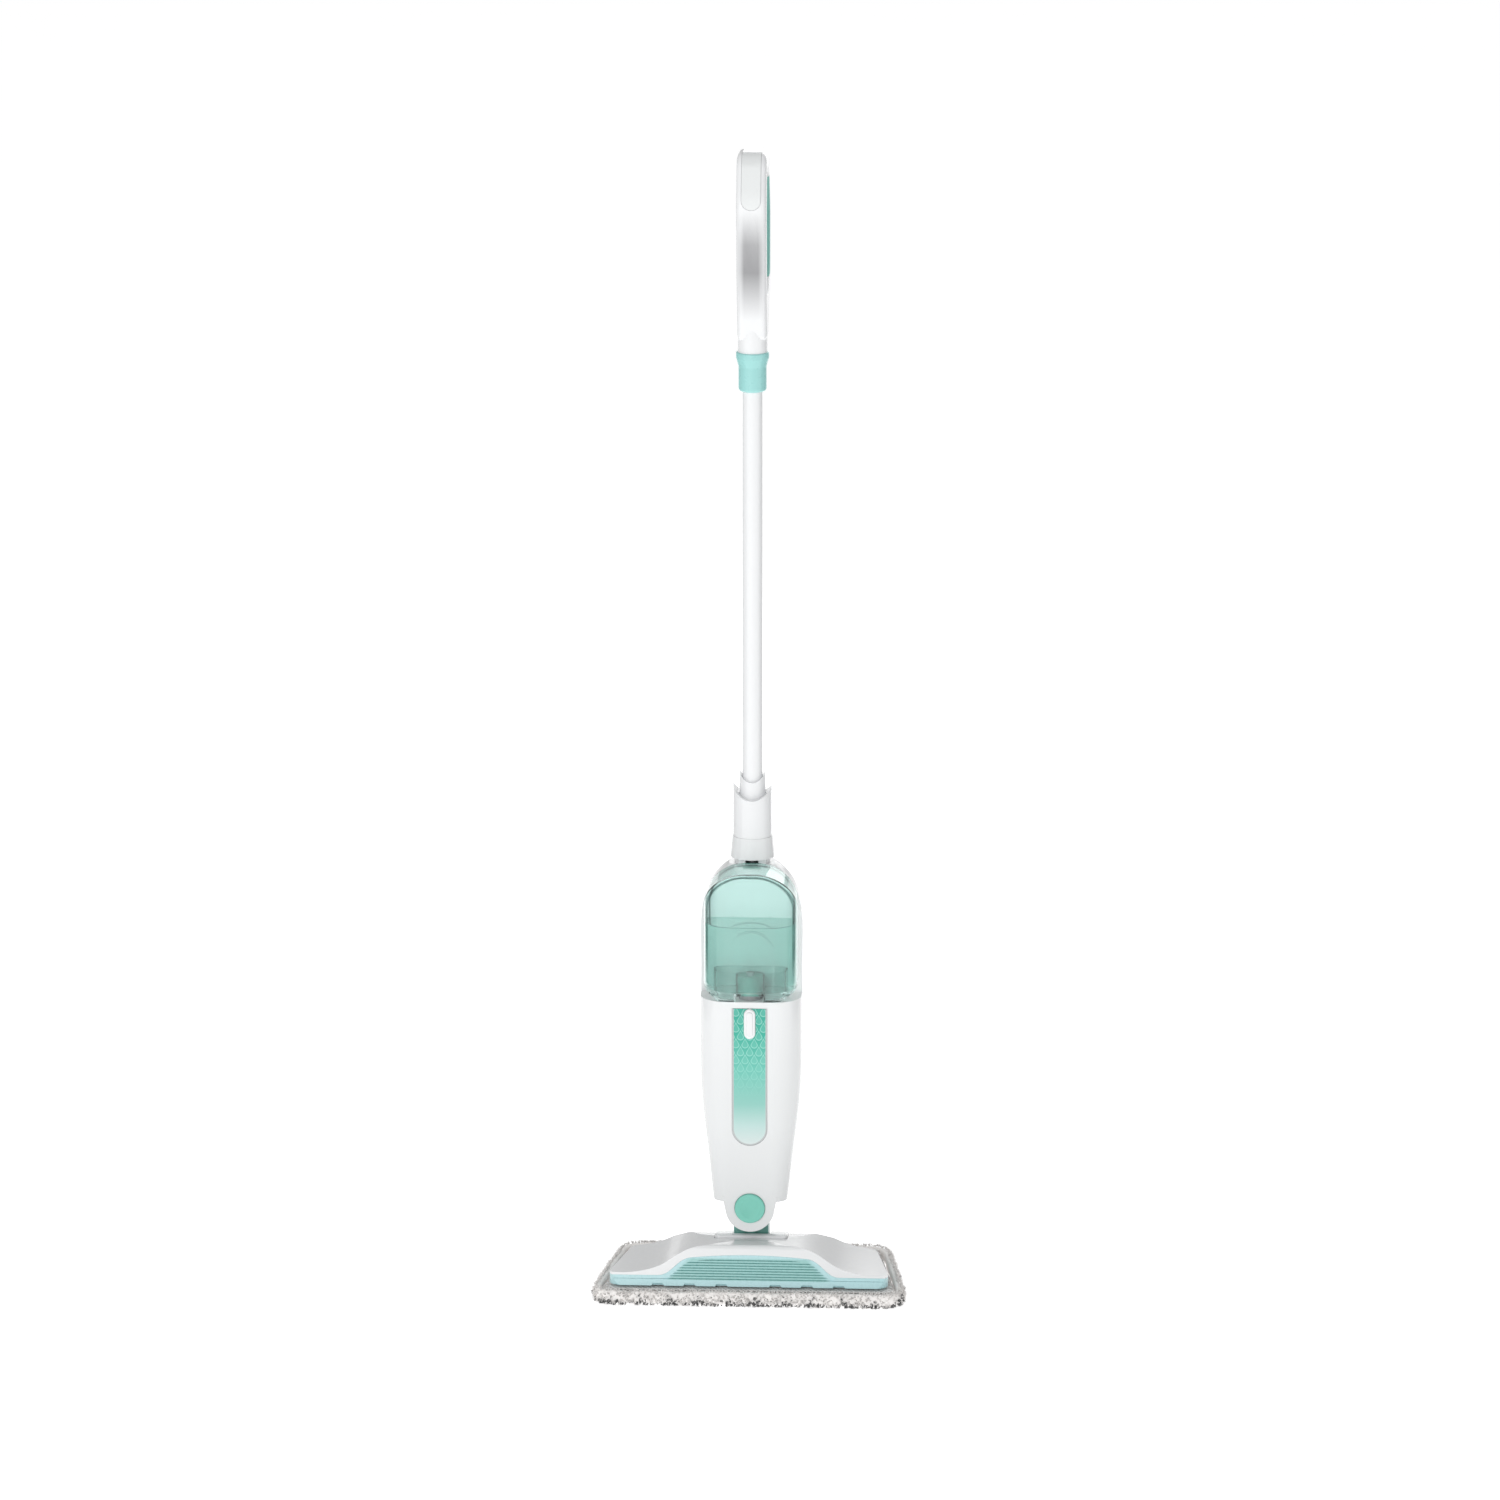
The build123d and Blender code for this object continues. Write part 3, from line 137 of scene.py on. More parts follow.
def dark_card(name, x, y, width):
    """Upright dark card beside the object, seen only in reflections."""
    bottom, top = 0.02, 1.7
    corners = [(x, y, bottom), (x, y + width, bottom), (x, y + width, top), (x, y, top)]
    material = plain_paint(name + "_paint", colour=(0.03, 0.03, 0.035), rough=0.9)
    card = new_piece(name, corners, [(0, 1, 2, 3)], material, smooth=False)
    card.visible_camera = False
    card.visible_diffuse = False
    card.visible_shadow = False
    card.visible_transmission = False


def studio_floor():
    """Wide pale floor that glows a little."""
    look = Look("floor_paint", (0.95, 0.95, 0.95), rough=0.9)
    look.vary(0.004, scale=2.0)
    look.set("Emission Color", (1.0, 1.0, 1.0, 1.0))
    look.set("Emission Strength", 0.56)
    reach = 60.0
    corners = [(-reach, -reach, 0), (reach, -reach, 0), (reach, reach, 0), (-reach, reach, 0)]
    floor = new_piece("studio_floor", corners, [(0, 1, 2, 3)], look.material, smooth=False)


def make_studio():
    """Pale floor, pale surroundings and large soft lights."""
    bpy.context.scene.view_settings.view_transform = "Standard"
    area_light("key_front", place=(-1.1, -3.4, 1.9), target=(0, 0, 0.55), size=(1.5, 2.6), power=44.0)
    area_light("top", place=(0.0, 0.2, 3.4), target=(0, 0, 0.3), size=(2.6, 2.6), power=12.0)
    area_light("back_rim", place=(0.5, 2.8, 1.6), target=(0, 0, 0.6), size=(1.6, 2.0), power=14.0)
    world = bpy.data.worlds.new("studio_world")
    world.use_nodes = True
    background = world.node_tree.nodes["Background"]
    background.inputs["Color"].default_value = (1.0, 1.0, 1.0, 1.0)
    background.inputs["Strength"].default_value = 0.46
    bpy.context.scene.world = world
    dark_card("card_left", x=-1.0, y=-0.5, width=1.6)
    dark_card("card_right", x=1.0, y=-0.2, width=1.4)
    studio_floor()


# ---------------------------------------------------------------- material tools
class Look:
    """One node material on Object coordinates, with small helpers for its nodes."""

    def __init__(self, name, colour, rough):
        self.material = bpy.data.materials.new(name)
        self.material.use_nodes = True
        self.nodes = self.material.node_tree.nodes
        self.links = self.material.node_tree.links
        self.shader = self.nodes["Principled BSDF"]
        self.colour = colour
        self.set("Base Color", (*colour, 1.0))
        self.set("Roughness", rough)
        self.place = self.nodes.new("ShaderNodeTexCoord").outputs["Object"]

    def set(self, socket, value):
        self.shader.inputs[socket].default_value = value

    def join(self, output, socket):
        self.links.new(output, socket)

    def fill(self, socket, value):
        """Gives a socket a number, a colour or another node's output."""
        if isinstance(value, (int, float)):
            socket.default_value = value
        elif isinstance(value, tuple):
            socket.default_value = (*value, 1.0)
        else:
            self.join(value, socket)

    def axes(self):
        """The X, Y and Z of each point."""
        split = self.nodes.new("ShaderNodeSeparateXYZ")
        self.join(self.place, split.inputs[0])
        return split.outputs["X"], split.outputs["Y"], split.outputs["Z"]

    def math(self, operation, *values, clamp=False):
        node = self.nodes.new("ShaderNodeMath")
        node.operation = operation
        node.use_clamp = clamp
        for socket, value in zip(node.inputs, values):
            self.fill(socket, value)
        return node.outputs[0]

    def minus(self, first, second):
        return self.math("SUBTRACT", first, second)

    def times(self, first, second):
        return self.math("MULTIPLY", first, second)

    def past(self, value, start, steep):
        """Zero until value passes start, then rising to one at a given steepness."""
        return self.math("MULTIPLY", self.minus(value, start), steep, clamp=True)

    def share(self, value, low, high):
        """How far value lies from low to high, zero at low and one at high."""
        return self.math("DIVIDE", self.minus(value, low), high - low)

    def length(self, across, up):
        """Length of a slanted line from its two sides."""
        squares = self.math("ADD", self.math("POWER", across, 2.0), self.math("POWER", up, 2.0))
        return self.math("SQRT", squares)

    def band(self, value, centre, width):
        """One where value is at centre, falling to zero at half a width either side."""
        off = self.math("ABSOLUTE", self.minus(value, centre))
        return self.math("SUBTRACT", 1.0, self.math("DIVIDE", off, width / 2), clamp=True)

    def noise(self, scale, detail, stretch=(1.0, 1.0, 1.0)):
        mapping = self.nodes.new("ShaderNodeMapping")
        mapping.inputs["Scale"].default_value = stretch
        self.join(self.place, mapping.inputs["Vector"])
        node = self.nodes.new("ShaderNodeTexNoise")
        node.inputs["Scale"].default_value = scale
        node.inputs["Detail"].default_value = detail
        self.join(mapping.outputs["Vector"], node.inputs["Vector"])
        return node.outputs["Fac"]

    def cells(self, scale):
        node = self.nodes.new("ShaderNodeTexVoronoi")
        node.inputs["Scale"].default_value = scale
        self.join(self.place, node.inputs["Vector"])
        return node.outputs["Distance"]

    def ramp(self, value, stops):
        node = self.nodes.new("ShaderNodeValToRGB")
        ramp = node.color_ramp
        while len(ramp.elements) < len(stops):
            ramp.elements.new(0.5)
        for element, (position, colour) in zip(ramp.elements, stops):
            element.position = position
            element.color = (*colour, 1.0)
        self.join(value, node.inputs["Fac"])
        return node.outputs["Color"]

    def mix(self, factor, first, second):
        node = self.nodes.new("ShaderNodeMix")
        node.data_type = "RGBA"
        for socket, value in ((node.inputs[0], factor), (node.inputs[6], first), (node.inputs[7], second)):
            self.fill(socket, value)
        return node.outputs[2]

    def paint(self, colour):
        self.join(colour, self.shader.inputs["Base Color"])

    def vary(self, amount, scale):
        """Slight colour drift, as in any moulded or woven batch."""
        low = tuple(channel * (1.0 - amount) for channel in self.colour)
        high = tuple(min(1.0, channel * (1.0 + amount * 0.6)) for channel in self.colour)
        self.paint(self.ramp(self.noise(scale, detail=2.0), [(0.3, low), (0.7, high)]))

    def rough_range(self, low, high, scale):
        """Gloss that wanders between two roughnesses."""
        node = self.nodes.new("ShaderNodeMapRange")
        node.inputs["To Min"].default_value = low
        node.inputs["To Max"].default_value = high
        self.join(self.noise(scale, detail=4.0), node.inputs["Value"])
        self.join(node.outputs["Result"], self.shader.inputs["Roughness"])

    def bump(self, height, strength, distance):
        node = self.nodes.new("ShaderNodeBump")
        node.inputs["Strength"].default_value = strength
        node.inputs["Distance"].default_value = distance
        self.join(height, node.inputs["Height"])
        self.join(node.outputs["Normal"], self.shader.inputs["Normal"])

    def coat(self, weight, rough):
        self.set("Coat Weight", weight)
        self.set("Coat Roughness", rough)

    def moulded_gloss(self, low, high, coat, coat_rough=0.08):
        """Uneven gloss, a clear top layer and the faint ripple of moulded plastic."""
        self.rough_range(low, high, scale=240.0)
        self.coat(coat, coat_rough)
        self.bump(self.noise(420.0, detail=2.0), strength=0.05, distance=0.0003)


# ---------------------------------------------------------------- plain materials
def plain_paint(name, colour, rough):
    look = Look(name, colour, rough)
    look.vary(0.01, scale=3.0)
    return look.material


def glossy_plastic(name, colour, rough, coat, drift=0.02):
    """Injection-moulded plastic with a faint drift of colour."""
    look = Look(name, colour, rough)
    look.vary(drift, scale=9.0)
    look.moulded_gloss(rough * 0.75, rough * 1.35, coat)
    return look.material


def satin_plastic(name, colour, rough, grain=1600.0):
    """Moulded plastic with a fine spark-eroded grain."""
    look = Look(name, colour, rough)
    look.vary(0.03, scale=14.0)
    look.rough_range(rough * 0.85, rough * 1.2, scale=300.0)
    look.bump(look.noise(grain, detail=3.0), strength=0.18, distance=0.0002)
    return look.material


def soft_rubber(name, colour):
    """Soft-touch rubber with a fine pebble."""
    look = Look(name, colour, rough=0.62)
    look.vary(0.05, scale=40.0)
    look.bump(look.cells(900.0), strength=0.35, distance=0.0002)
    look.set("Sheen Weight", 0.15)
    return look.material


def brushed_metal(name, colour, rough):
    """Metal with fine lines along one axis."""
    look = Look(name, colour, rough)
    look.set("Metallic", 1.0)
    look.vary(0.06, scale=50.0)
    look.rough_range(rough * 0.8, rough * 1.3, scale=90.0)
    lines = look.noise(300.0, detail=4.0, stretch=(1.0, 1.0, 30.0))
    look.bump(lines, strength=0.15, distance=0.0002)
    return look.material


def cast_metal(name, colour):
    """Rough metal, as it comes out of a mould."""
    look = Look(name, colour, rough=0.55)
    look.set("Metallic", 1.0)
    look.vary(0.12, scale=90.0)
    look.bump(look.noise(700.0, detail=5.0), strength=0.5, distance=0.0005)
    return look.material


def painted_tube(name, colour):
    """Gloss powder coat: slight orange peel, drawn out along the tube."""
    look = Look(name, colour, rough=0.2)
    look.vary(0.015, scale=6.0)
    look.rough_range(0.14, 0.26, scale=120.0)
    look.coat(0.5, rough=0.06)
    peel = look.noise(260.0, detail=2.0, stretch=(1.0, 1.0, 0.4))
    look.bump(peel, strength=0.08, distance=0.0004)
    return look.material


def fibre_cloth(name, colour, scale, drift=0.10):
    """Microfibre: fine strands, uneven tone and a soft sheen."""
    look = Look(name, colour, rough=0.92)
    look.vary(drift, scale=260.0)
    look.set("Sheen Weight", 0.5)
    look.set("Sheen Roughness", 0.5)
    look.bump(look.noise(scale, detail=3.0), strength=0.5, distance=0.0005)
    return look.material


def knitted_mesh(name, colour):
    """Knitted yarn with fine lines across it."""
    look = Look(name, colour, rough=0.85)
    look.vary(0.08, scale=300.0)
    look.set("Sheen Weight", 0.3)
    lines = look.noise(1800.0, detail=3.0, stretch=(1.0, 3.0, 1.0))
    look.bump(lines, strength=0.4, distance=0.0004)
    return look.material


def circuit_green(name, colour):
    """Green board with copper-coloured specks."""
    look = Look(name, colour, rough=0.4)
    specks = look.math("GREATER_THAN", look.cells(700.0), 0.42)
    look.paint(look.mix(specks, colour, (0.55, 0.42, 0.18)))
    return look.material


def water_look(name, colour):
    """Clear water with a slight tint."""
    look = Look(name, colour, rough=0.02)
    look.set("Transmission Weight", 1.0)
    look.set("IOR", 1.2)
    look.vary(0.03, scale=20.0)
    return look.material


# ---------------------------------------------------------------- materials that follow a shape
def groove_plastic(name, colour):
    """Aqua moulding: sky-blue margin, greener ribbed field and painted shade in the grooves, by depth."""
    look = Look(name, colour, rough=0.26)
    x, y, z = look.axes()
    # The field follows the arch: half width shrinks as the ribs rise.
    arch_low, arch_height = 23.4 * MM, 21.0 * MM
    rise = look.math("DIVIDE", look.minus(z, arch_low), arch_height, clamp=True)
    reach = look.math("MULTIPLY_ADD", rise, -FIELD_TAPER, FIELD_HALF)
    across = look.past(reach, look.math("ABSOLUTE", x), steep=160.0)
    above = look.past(z, FIELD_LOW, steep=900.0)
    below = look.past(FIELD_HIGH, z, steep=700.0)
    field = look.times(across, look.times(above, below))
    ground = look.mix(look.times(field, 0.85), colour, (0.31, 0.60, 0.57))
    # Depth below the sloping face marks the grooves, which get painted shade.
    shallowest, deepest = 0.15 * MM, 1.4 * MM
    face = look.math("MULTIPLY_ADD", look.minus(z, FACE_FOOT_Z), FACE_LEAN, FACE_FOOT_Y)
    depth = look.minus(y, face)
    sunk = look.past(depth, shallowest, steep=1800.0)
    front = look.math("LESS_THAN", depth, deepest)
    groove_shade = look.times(look.times(sunk, front), look.times(field, 0.8))
    look.paint(look.mix(groove_shade, ground, (0.13, 0.38, 0.36)))
    look.moulded_gloss(0.2, 0.36, coat=0.25, coat_rough=0.1)
    return look.material


def shaded_handle(name, colour):
    """White handle with painted shade: a soft grey fade painted over its hollowed front."""
    low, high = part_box("handle_shell")
    look = Look(name, colour, rough=0.22)
    x, y, z = look.axes()
    # Painted shade: how strongly the grey is laid on at each height of the hollowed front.
    shade_strengths = [(0.0, 0.0), (0.17, 0.05), (0.30, 0.55), (0.42, 1.0), (0.56, 0.85), (0.74, 0.0)]
    stops = [(height, (strength,) * 3) for height, strength in shade_strengths]
    tone = look.ramp(look.share(z, low.z, high.z), stops)
    shade_half, shade_back = 15.0 * MM, 3.0 * MM
    middle = look.past(shade_half, look.math("ABSOLUTE", x), steep=130.0)
    front = look.math("LESS_THAN", y, shade_back)
    shade = look.times(look.times(tone, front), look.times(middle, 0.95))
    look.paint(look.mix(shade, colour, (0.27, 0.27, 0.28)))
    look.moulded_gloss(0.16, 0.3, coat=0.4)
    return look.material


def body_white(name, colour):
    """Gloss white housing with painted shade: it greys slightly towards its foot."""
    low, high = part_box("front_housing")
    look = Look(name, colour, rough=0.2)
    z = look.axes()[2]
    grey = tuple(channel * 0.80 for channel in colour)
    pale = tuple(channel * 0.94 for channel in colour)
    # Painted shade: the grey deepens towards the foot of the housing.
    look.paint(look.ramp(look.share(z, low.z, high.z), [(0.0, grey), (0.30, pale), (0.62, colour)]))
    look.moulded_gloss(0.15, 0.27, coat=0.4)
    return look.material


def outline_distance(look, x, z, half, radius, spring, sign):
    """Distance inwards from an outline with straight sides and one rounded end.

    The end starts at height spring, upwards where sign is 1 and downwards where it is -1.
    """
    side = look.math("MAXIMUM", look.minus(look.math("ABSOLUTE", x), half - radius), 0.0)
    end = look.math("MAXIMUM", look.times(look.minus(z, spring), sign), 0.0)
    return look.minus(radius, look.length(side, end))


def clear_plastic(name, colour):
    """Tinted clear moulding with faint flow lines and painted shade: a dark line painted near its edge,
    stronger higher up.
    """
    low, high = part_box("tank_shell")
    look = Look(name, colour, rough=0.05)
    x, _, z = look.axes()
    depth = outline_distance(look, x, z, high.x, TANK_ROUND, high.z - TANK_ROUND, sign=1.0)
    # Painted shade: a dark line a little inside the tank's outline.
    painted_edge_shade = look.band(depth, centre=4.0 * MM, width=3.2 * MM)
    upper = look.past(z, low.z + 20 * MM, steep=40.0)
    painted_edge_shade = look.times(painted_edge_shade, look.math("MULTIPLY_ADD", upper, 0.7, 0.25))
    look.paint(look.mix(painted_edge_shade, colour, (0.0, 0.07, 0.06)))
    look.set("Transmission Weight", 0.97)
    look.set("IOR", 1.38)
    look.rough_range(0.03, 0.09, scale=60.0)
    flow = look.noise(35.0, detail=2.0, stretch=(1.0, 1.0, 0.5))
    look.bump(flow, strength=0.05, distance=0.0006)
    return look.material


def drop_lattice(look, x, z, shift):
    """Outlines and insides of drops on one grid; a second, shifted grid fills its gaps."""
    pitch_x, pitch_z, size = 9.5 * MM, 17.0 * MM, 3.3 * MM
    column = look.math("FRACT", look.math("ADD", look.math("DIVIDE", x, pitch_x), 20.5 + shift))
    row = look.math("FRACT", look.math("ADD", look.math("DIVIDE", z, pitch_z), shift))
    u = look.times(look.minus(column, 0.5), pitch_x)
    v = look.times(look.minus(row, 0.4), pitch_z)
    # A drop is a circle that narrows towards its upper tip.
    narrow = look.math("MULTIPLY_ADD", look.math("MAXIMUM", v, 0.0), -118.0, 1.0)
    wide = look.math("DIVIDE", u, look.math("MAXIMUM", narrow, 0.1))
    tall = look.times(v, look.math("MULTIPLY_ADD", look.math("GREATER_THAN", v, 0.0), -0.48, 1.0))
    radius = look.length(wide, tall)
    return look.band(radius, centre=size, width=1.5 * MM), look.math("LESS_THAN", radius, size)


def printed_strip(name, colour):
    """Teal gradient that fades downwards, with staggered drop outlines and painted shade: a grey line round
    its edge.
    """
    low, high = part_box("decor_strip")
    look = Look(name, colour, rough=0.24)
    x, _, z = look.axes()
    along = look.share(z, low.z, high.z)
    ground = look.ramp(along, [
        (0.0, (0.66, 0.74, 0.73)),
        (0.14, (0.50, 0.70, 0.67)),
        (0.30, (0.26, 0.58, 0.51)),
        (0.55, (0.13, 0.54, 0.44)),
        (0.80, (0.020, 0.42, 0.31)),
        (1.0, (0.016, 0.38, 0.28)),
    ])
    line, inside = drop_lattice(look, x, z, shift=0.0)
    other_line, other_inside = drop_lattice(look, x, z, shift=0.5)
    fade = look.past(along, 0.34, steep=3.2)
    tint = look.times(look.math("MAXIMUM", inside, other_inside), look.times(fade, 0.14))
    ink = look.times(look.math("MAXIMUM", line, other_line), look.times(fade, 0.6))
    drops = look.mix(ink, look.mix(tint, ground, (0.35, 0.80, 0.70)), (0.42, 0.82, 0.74))
    half = high.x
    depth = outline_distance(look, x, z, half, half, low.z + half, sign=-1.0)
    # Painted shade: a grey line painted just inside the strip's edge.
    border = look.past(1.5 * MM, depth, steep=2500.0)
    look.paint(look.mix(border, drops, (0.50, 0.53, 0.53)))
    look.coat(0.6, rough=0.08)
    look.bump(look.noise(500.0, detail=2.0), strength=0.05, distance=0.0002)
    return look.material


# ---------------------------------------------------------------- material of each node
LOOKS = {
    "microfibre": (fibre_cloth, (0.97, 0.945, 0.925), {"scale": 2200.0, "drift": 0.04}),
    "pad_mesh": (knitted_mesh, (0.86, 0.85, 0.84), {}),
    "hook_fastener": (fibre_cloth, (0.55, 0.55, 0.54), {"scale": 3000.0}),
    "pale_aqua_plastic": (groove_plastic, (0.50, 0.77, 0.80), {}),
    "white_plastic": (glossy_plastic, WHITE, {"rough": 0.2, "coat": 0.4, "drift": 0.01}),
    "handle_white": (shaded_handle, WHITE, {}),
    "body_white": (body_white, (0.83, 0.845, 0.85), {}),
    "white_trim": (satin_plastic, (0.78, 0.80, 0.80), {"rough": 0.38}),
    "steel": (brushed_metal, (0.62, 0.63, 0.64), {"rough": 0.32}),
    "grey_plastic": (satin_plastic, (0.30, 0.31, 0.32), {"rough": 0.5}),
    "teal_plastic": (glossy_plastic, (0.13, 0.35, 0.30), {"rough": 0.3, "coat": 0.2}),
    "teal_button": (satin_plastic, (0.19, 0.56, 0.46), {"rough": 0.34, "grain": 2200.0}),
    "printed_strip": (printed_strip, (0.03, 0.42, 0.31), {}),
    "cast_metal": (cast_metal, (0.58, 0.58, 0.58), {}),
    "ceramic_white": (satin_plastic, (0.80, 0.78, 0.74), {"rough": 0.6}),
    "silicone": (soft_rubber, (0.70, 0.67, 0.62), {}),
    "circuit_board": (circuit_green, (0.02, 0.14, 0.06), {}),
    "grey_rubber": (soft_rubber, (0.32, 0.33, 0.34), {}),
    "clear_aqua_plastic": (clear_plastic, (0.84, 0.96, 0.94), {}),
    "painted_tube": (painted_tube, WHITE, {}),
    "teal_grip": (soft_rubber, (0.20, 0.50, 0.44), {}),
    "light_aqua_cuff": (glossy_plastic, (0.34, 0.68, 0.66), {"rough": 0.28, "coat": 0.3}),
}
SPECIAL = {"handle_shell": "handle_white", "front_housing": "body_white", "rear_housing": "body_white"}


def dress_nodes():
    """Gives every CAD node the material of its slot, or its own special one."""
    made = {}
    slots = {entry["node"]: entry["material_slot"] for entry in frame["record"]["subparts"]}
    for node, piece in frame["nodes"].items():
        name = SPECIAL.get(node, slots[node])
        if name not in made:
            make, colour, options = LOOKS[name]
            made[name] = make(name, colour, **options)
        if not piece.material_slots:
            piece.data.materials.append(made[name])
        for place in piece.material_slots:
            place.material = made[name]
    return made


# ---------------------------------------------------------------- mesh tools
def rounded_outline(corners, radius, step):
    """Evenly spaced points and outward normals round a closed convex outline."""
    corner_steps = 12
    shortest = 1e-9
    dense = []
    count = len(corners)
    for index in range(count):
        before, corner, after = (Vector(corners[(index + k) % count]) for k in (-1, 0, 1))
        to_before, to_after = (before - corner).normalized(), (after - corner).normalized()
        half = to_before.angle(to_after) / 2
        centre = corner + (to_before + to_after).normalized() * (radius / math.sin(half))
        start = corner + to_before * (radius / math.tan(half)) - centre
        turn = math.pi - 2 * half
        for k in range(corner_steps + 1):
            angle = turn * k / corner_steps
            c, s = math.cos(angle), math.sin(angle)
            dense.append(centre + Vector((start.x * c - start.y * s, start.x * s + start.y * c)))
    dense.append(dense[0])
    lengths = [0.0]
    for a, b in zip(dense, dense[1:]):
        lengths.append(lengths[-1] + (b - a).length)
    number = int(lengths[-1] / step)
    points, normals = [], []
    segment = 0
    for k in range(number):
        goal = lengths[-1] * k / number
        while lengths[segment + 1] < goal:
            segment += 1
        a, b = dense[segment], dense[segment + 1]
        share = (goal - lengths[segment]) / max(shortest, lengths[segment + 1] - lengths[segment])
        points.append(a.lerp(b, share))
        run = (b - a).normalized()
        normals.append(Vector((run.y, -run.x)))
    return points, normals


def capped_tube(base, rings, count):
    """Faces that join rings of count points, the first one at base, and close both ends."""
    faces = []
    for ring in range(rings - 1):
        for k in range(count):
            a = base + ring * count + k
            b = base + ring * count + (k + 1) % count
            faces.append((a, b, b + count, a + count))
    last = base + (rings - 1) * count
    faces.append(tuple(reversed(range(base, base + count))))
    faces.append(tuple(range(last, last + count)))
    return faces


# ---------------------------------------------------------------- cleaning pad
def pad_corners(inset):
    """Sharp corners of the pad's outline, from its rounded border's box and its taper."""
    low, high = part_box("pad_border")
    front = high.x + 3.6 * MM - inset
    back = front - PAD_TAPER
    return [(-front, low.y + inset), (front, low.y + inset), (back, high.y - inset), (-back, high.y - inset)]


def border_roll(material):
    """Lumpy stuffed roll round the pad, the ground that the pile stands on."""
    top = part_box("pad_border")[1].z
    points, normals = rounded_outline(pad_corners(EDGE_WIDTH / 2), PAD_CORNER, 3 * MM)
    half_width = EDGE_WIDTH / 2 - 3.0 * MM
    half_height = top / 2 - 2.4 * MM
    squareness = 0.7
    lump_height = 1.2 * MM
    lump_scale = 90.0
    lowest = 0.4 * MM
    ring = 14
    verts, faces = [], []
    for point, normal in zip(points, normals):
        for k in range(ring):
            angle = 2 * math.pi * k / ring
            c, s = math.cos(angle), math.sin(angle)
            out = math.copysign(abs(c) ** squareness, c) * half_width
            up = math.copysign(abs(s) ** squareness, s) * half_height
            spot = Vector((point.x + normal.x * out, point.y + normal.y * out, top / 2 + up))
            lump = noise.noise(spot * lump_scale) * lump_height
            spot += Vector((normal.x * c, normal.y * c, s)) * lump
            spot.z = max(spot.z, lowest)
            verts.append(spot)
    total = len(points)
    for index in range(total):
        here = index * ring
        ahead = (index + 1) % total * ring
        for k in range(ring):
            n = (k + 1) % ring
            faces.append((here + k, ahead + k, ahead + n, here + n))
    return new_piece("pad_border_roll", verts, faces, material)


def add_strand(verts, faces, root, direction, length, radius, droop):
    """One tapered three-sided strand that curls as it leaves its root."""
    sides = 3
    rings = 3
    taper = 0.75
    lowest = 0.25 * MM
    side = direction.orthogonal().normalized()
    other = direction.cross(side)
    base = len(verts)
    for ring in range(rings):
        share = ring / (rings - 1)
        centre = root + direction * (length * share) + Vector((0, 0, -droop * share * share))
        centre.z = max(centre.z, lowest)
        size = radius * (1.0 - taper * share)
        for k in range(sides):
            angle = 2 * math.pi * k / sides
            verts.append(centre + side * (math.cos(angle) * size) + other * (math.sin(angle) * size))
    faces.extend(capped_tube(base, rings, sides))


def is_charcoal(along, height):
    """True for a tuft in the zigzag along the border, or in a fleck above one of its peaks."""
    wave = abs((along % 1.0) * 2 - 1)
    in_zigzag = height < 0.14 + 0.40 * wave
    in_fleck = abs(((along + 0.5) % 1.0) - 0.5) < 0.045 and 0.5 < height < 0.68
    return in_zigzag or in_fleck


def pile_strands(light, dark):
    """Microfibre tufts round the pad: cream, with charcoal ones in a zigzag and small flecks."""
    tufts_per_mm = 3.6
    strands = 5
    zigzag_pitch = 30.0
    charcoal_share = 0.9
    reach = EDGE_WIDTH / 2 - 3.2 * MM
    draw = random.Random(SEED)
    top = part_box("pad_border")[1].z
    points, normals = rounded_outline(pad_corners(EDGE_WIDTH / 2), PAD_CORNER, 1.0 * MM)
    cream = ([], [])
    charcoal = ([], [])
    total = len(points)
    for index in range(int(total * tufts_per_mm)):
        spot = (index / tufts_per_mm + draw.random()) % total
        point, normal = points[int(spot)], normals[int(spot)]
        angle = math.radians(-80 + 172 * draw.random())
        c, s = math.cos(angle), math.sin(angle)
        height = 0.5 + s * 0.42
        dark_here = is_charcoal(spot / zigzag_pitch, height) and draw.random() < charcoal_share
        tufts = charcoal if dark_here else cream
        root = Vector((point.x + normal.x * c * reach, point.y + normal.y * c * reach, height * top))
        lean = Vector((draw.uniform(-0.55, 0.55), draw.uniform(-0.55, 0.55), draw.uniform(-0.45, 0.45)))
        heading = (Vector((normal.x * c, normal.y * c, s * 0.75)) + lean).normalized()
        length = draw.uniform(2.8, 5.2) * MM
        # Tufts on top of the border are shorter.
        if s > 0.6:
            length *= 0.6
        for _ in range(strands):
            spread = Vector((draw.uniform(-1, 1), draw.uniform(-1, 1), draw.uniform(-1, 1)))
            add_strand(
                *tufts,
                root=root + spread * (0.5 * MM),
                direction=(heading + spread * 0.22).normalized(),
                length=length * draw.uniform(0.75, 1.1),
                radius=draw.uniform(0.28, 0.5) * MM,
                droop=draw.uniform(-0.4, 1.0) * MM,
            )
    return new_piece("pad_pile_cream", *cream, light), new_piece("pad_pile_charcoal", *charcoal, dark)


def sole_height(x, y):
    """Height of the sole's underside: rows of loops with some unevenness."""
    ripple = 0.5 + 0.5 * math.sin(x / MM * 0.9) * math.cos(y / MM * 0.7)
    uneven = abs(noise.noise(Vector((x, y, 0)) * 300))
    return 0.3 * MM + ripple * 0.9 * MM + uneven * 0.8 * MM


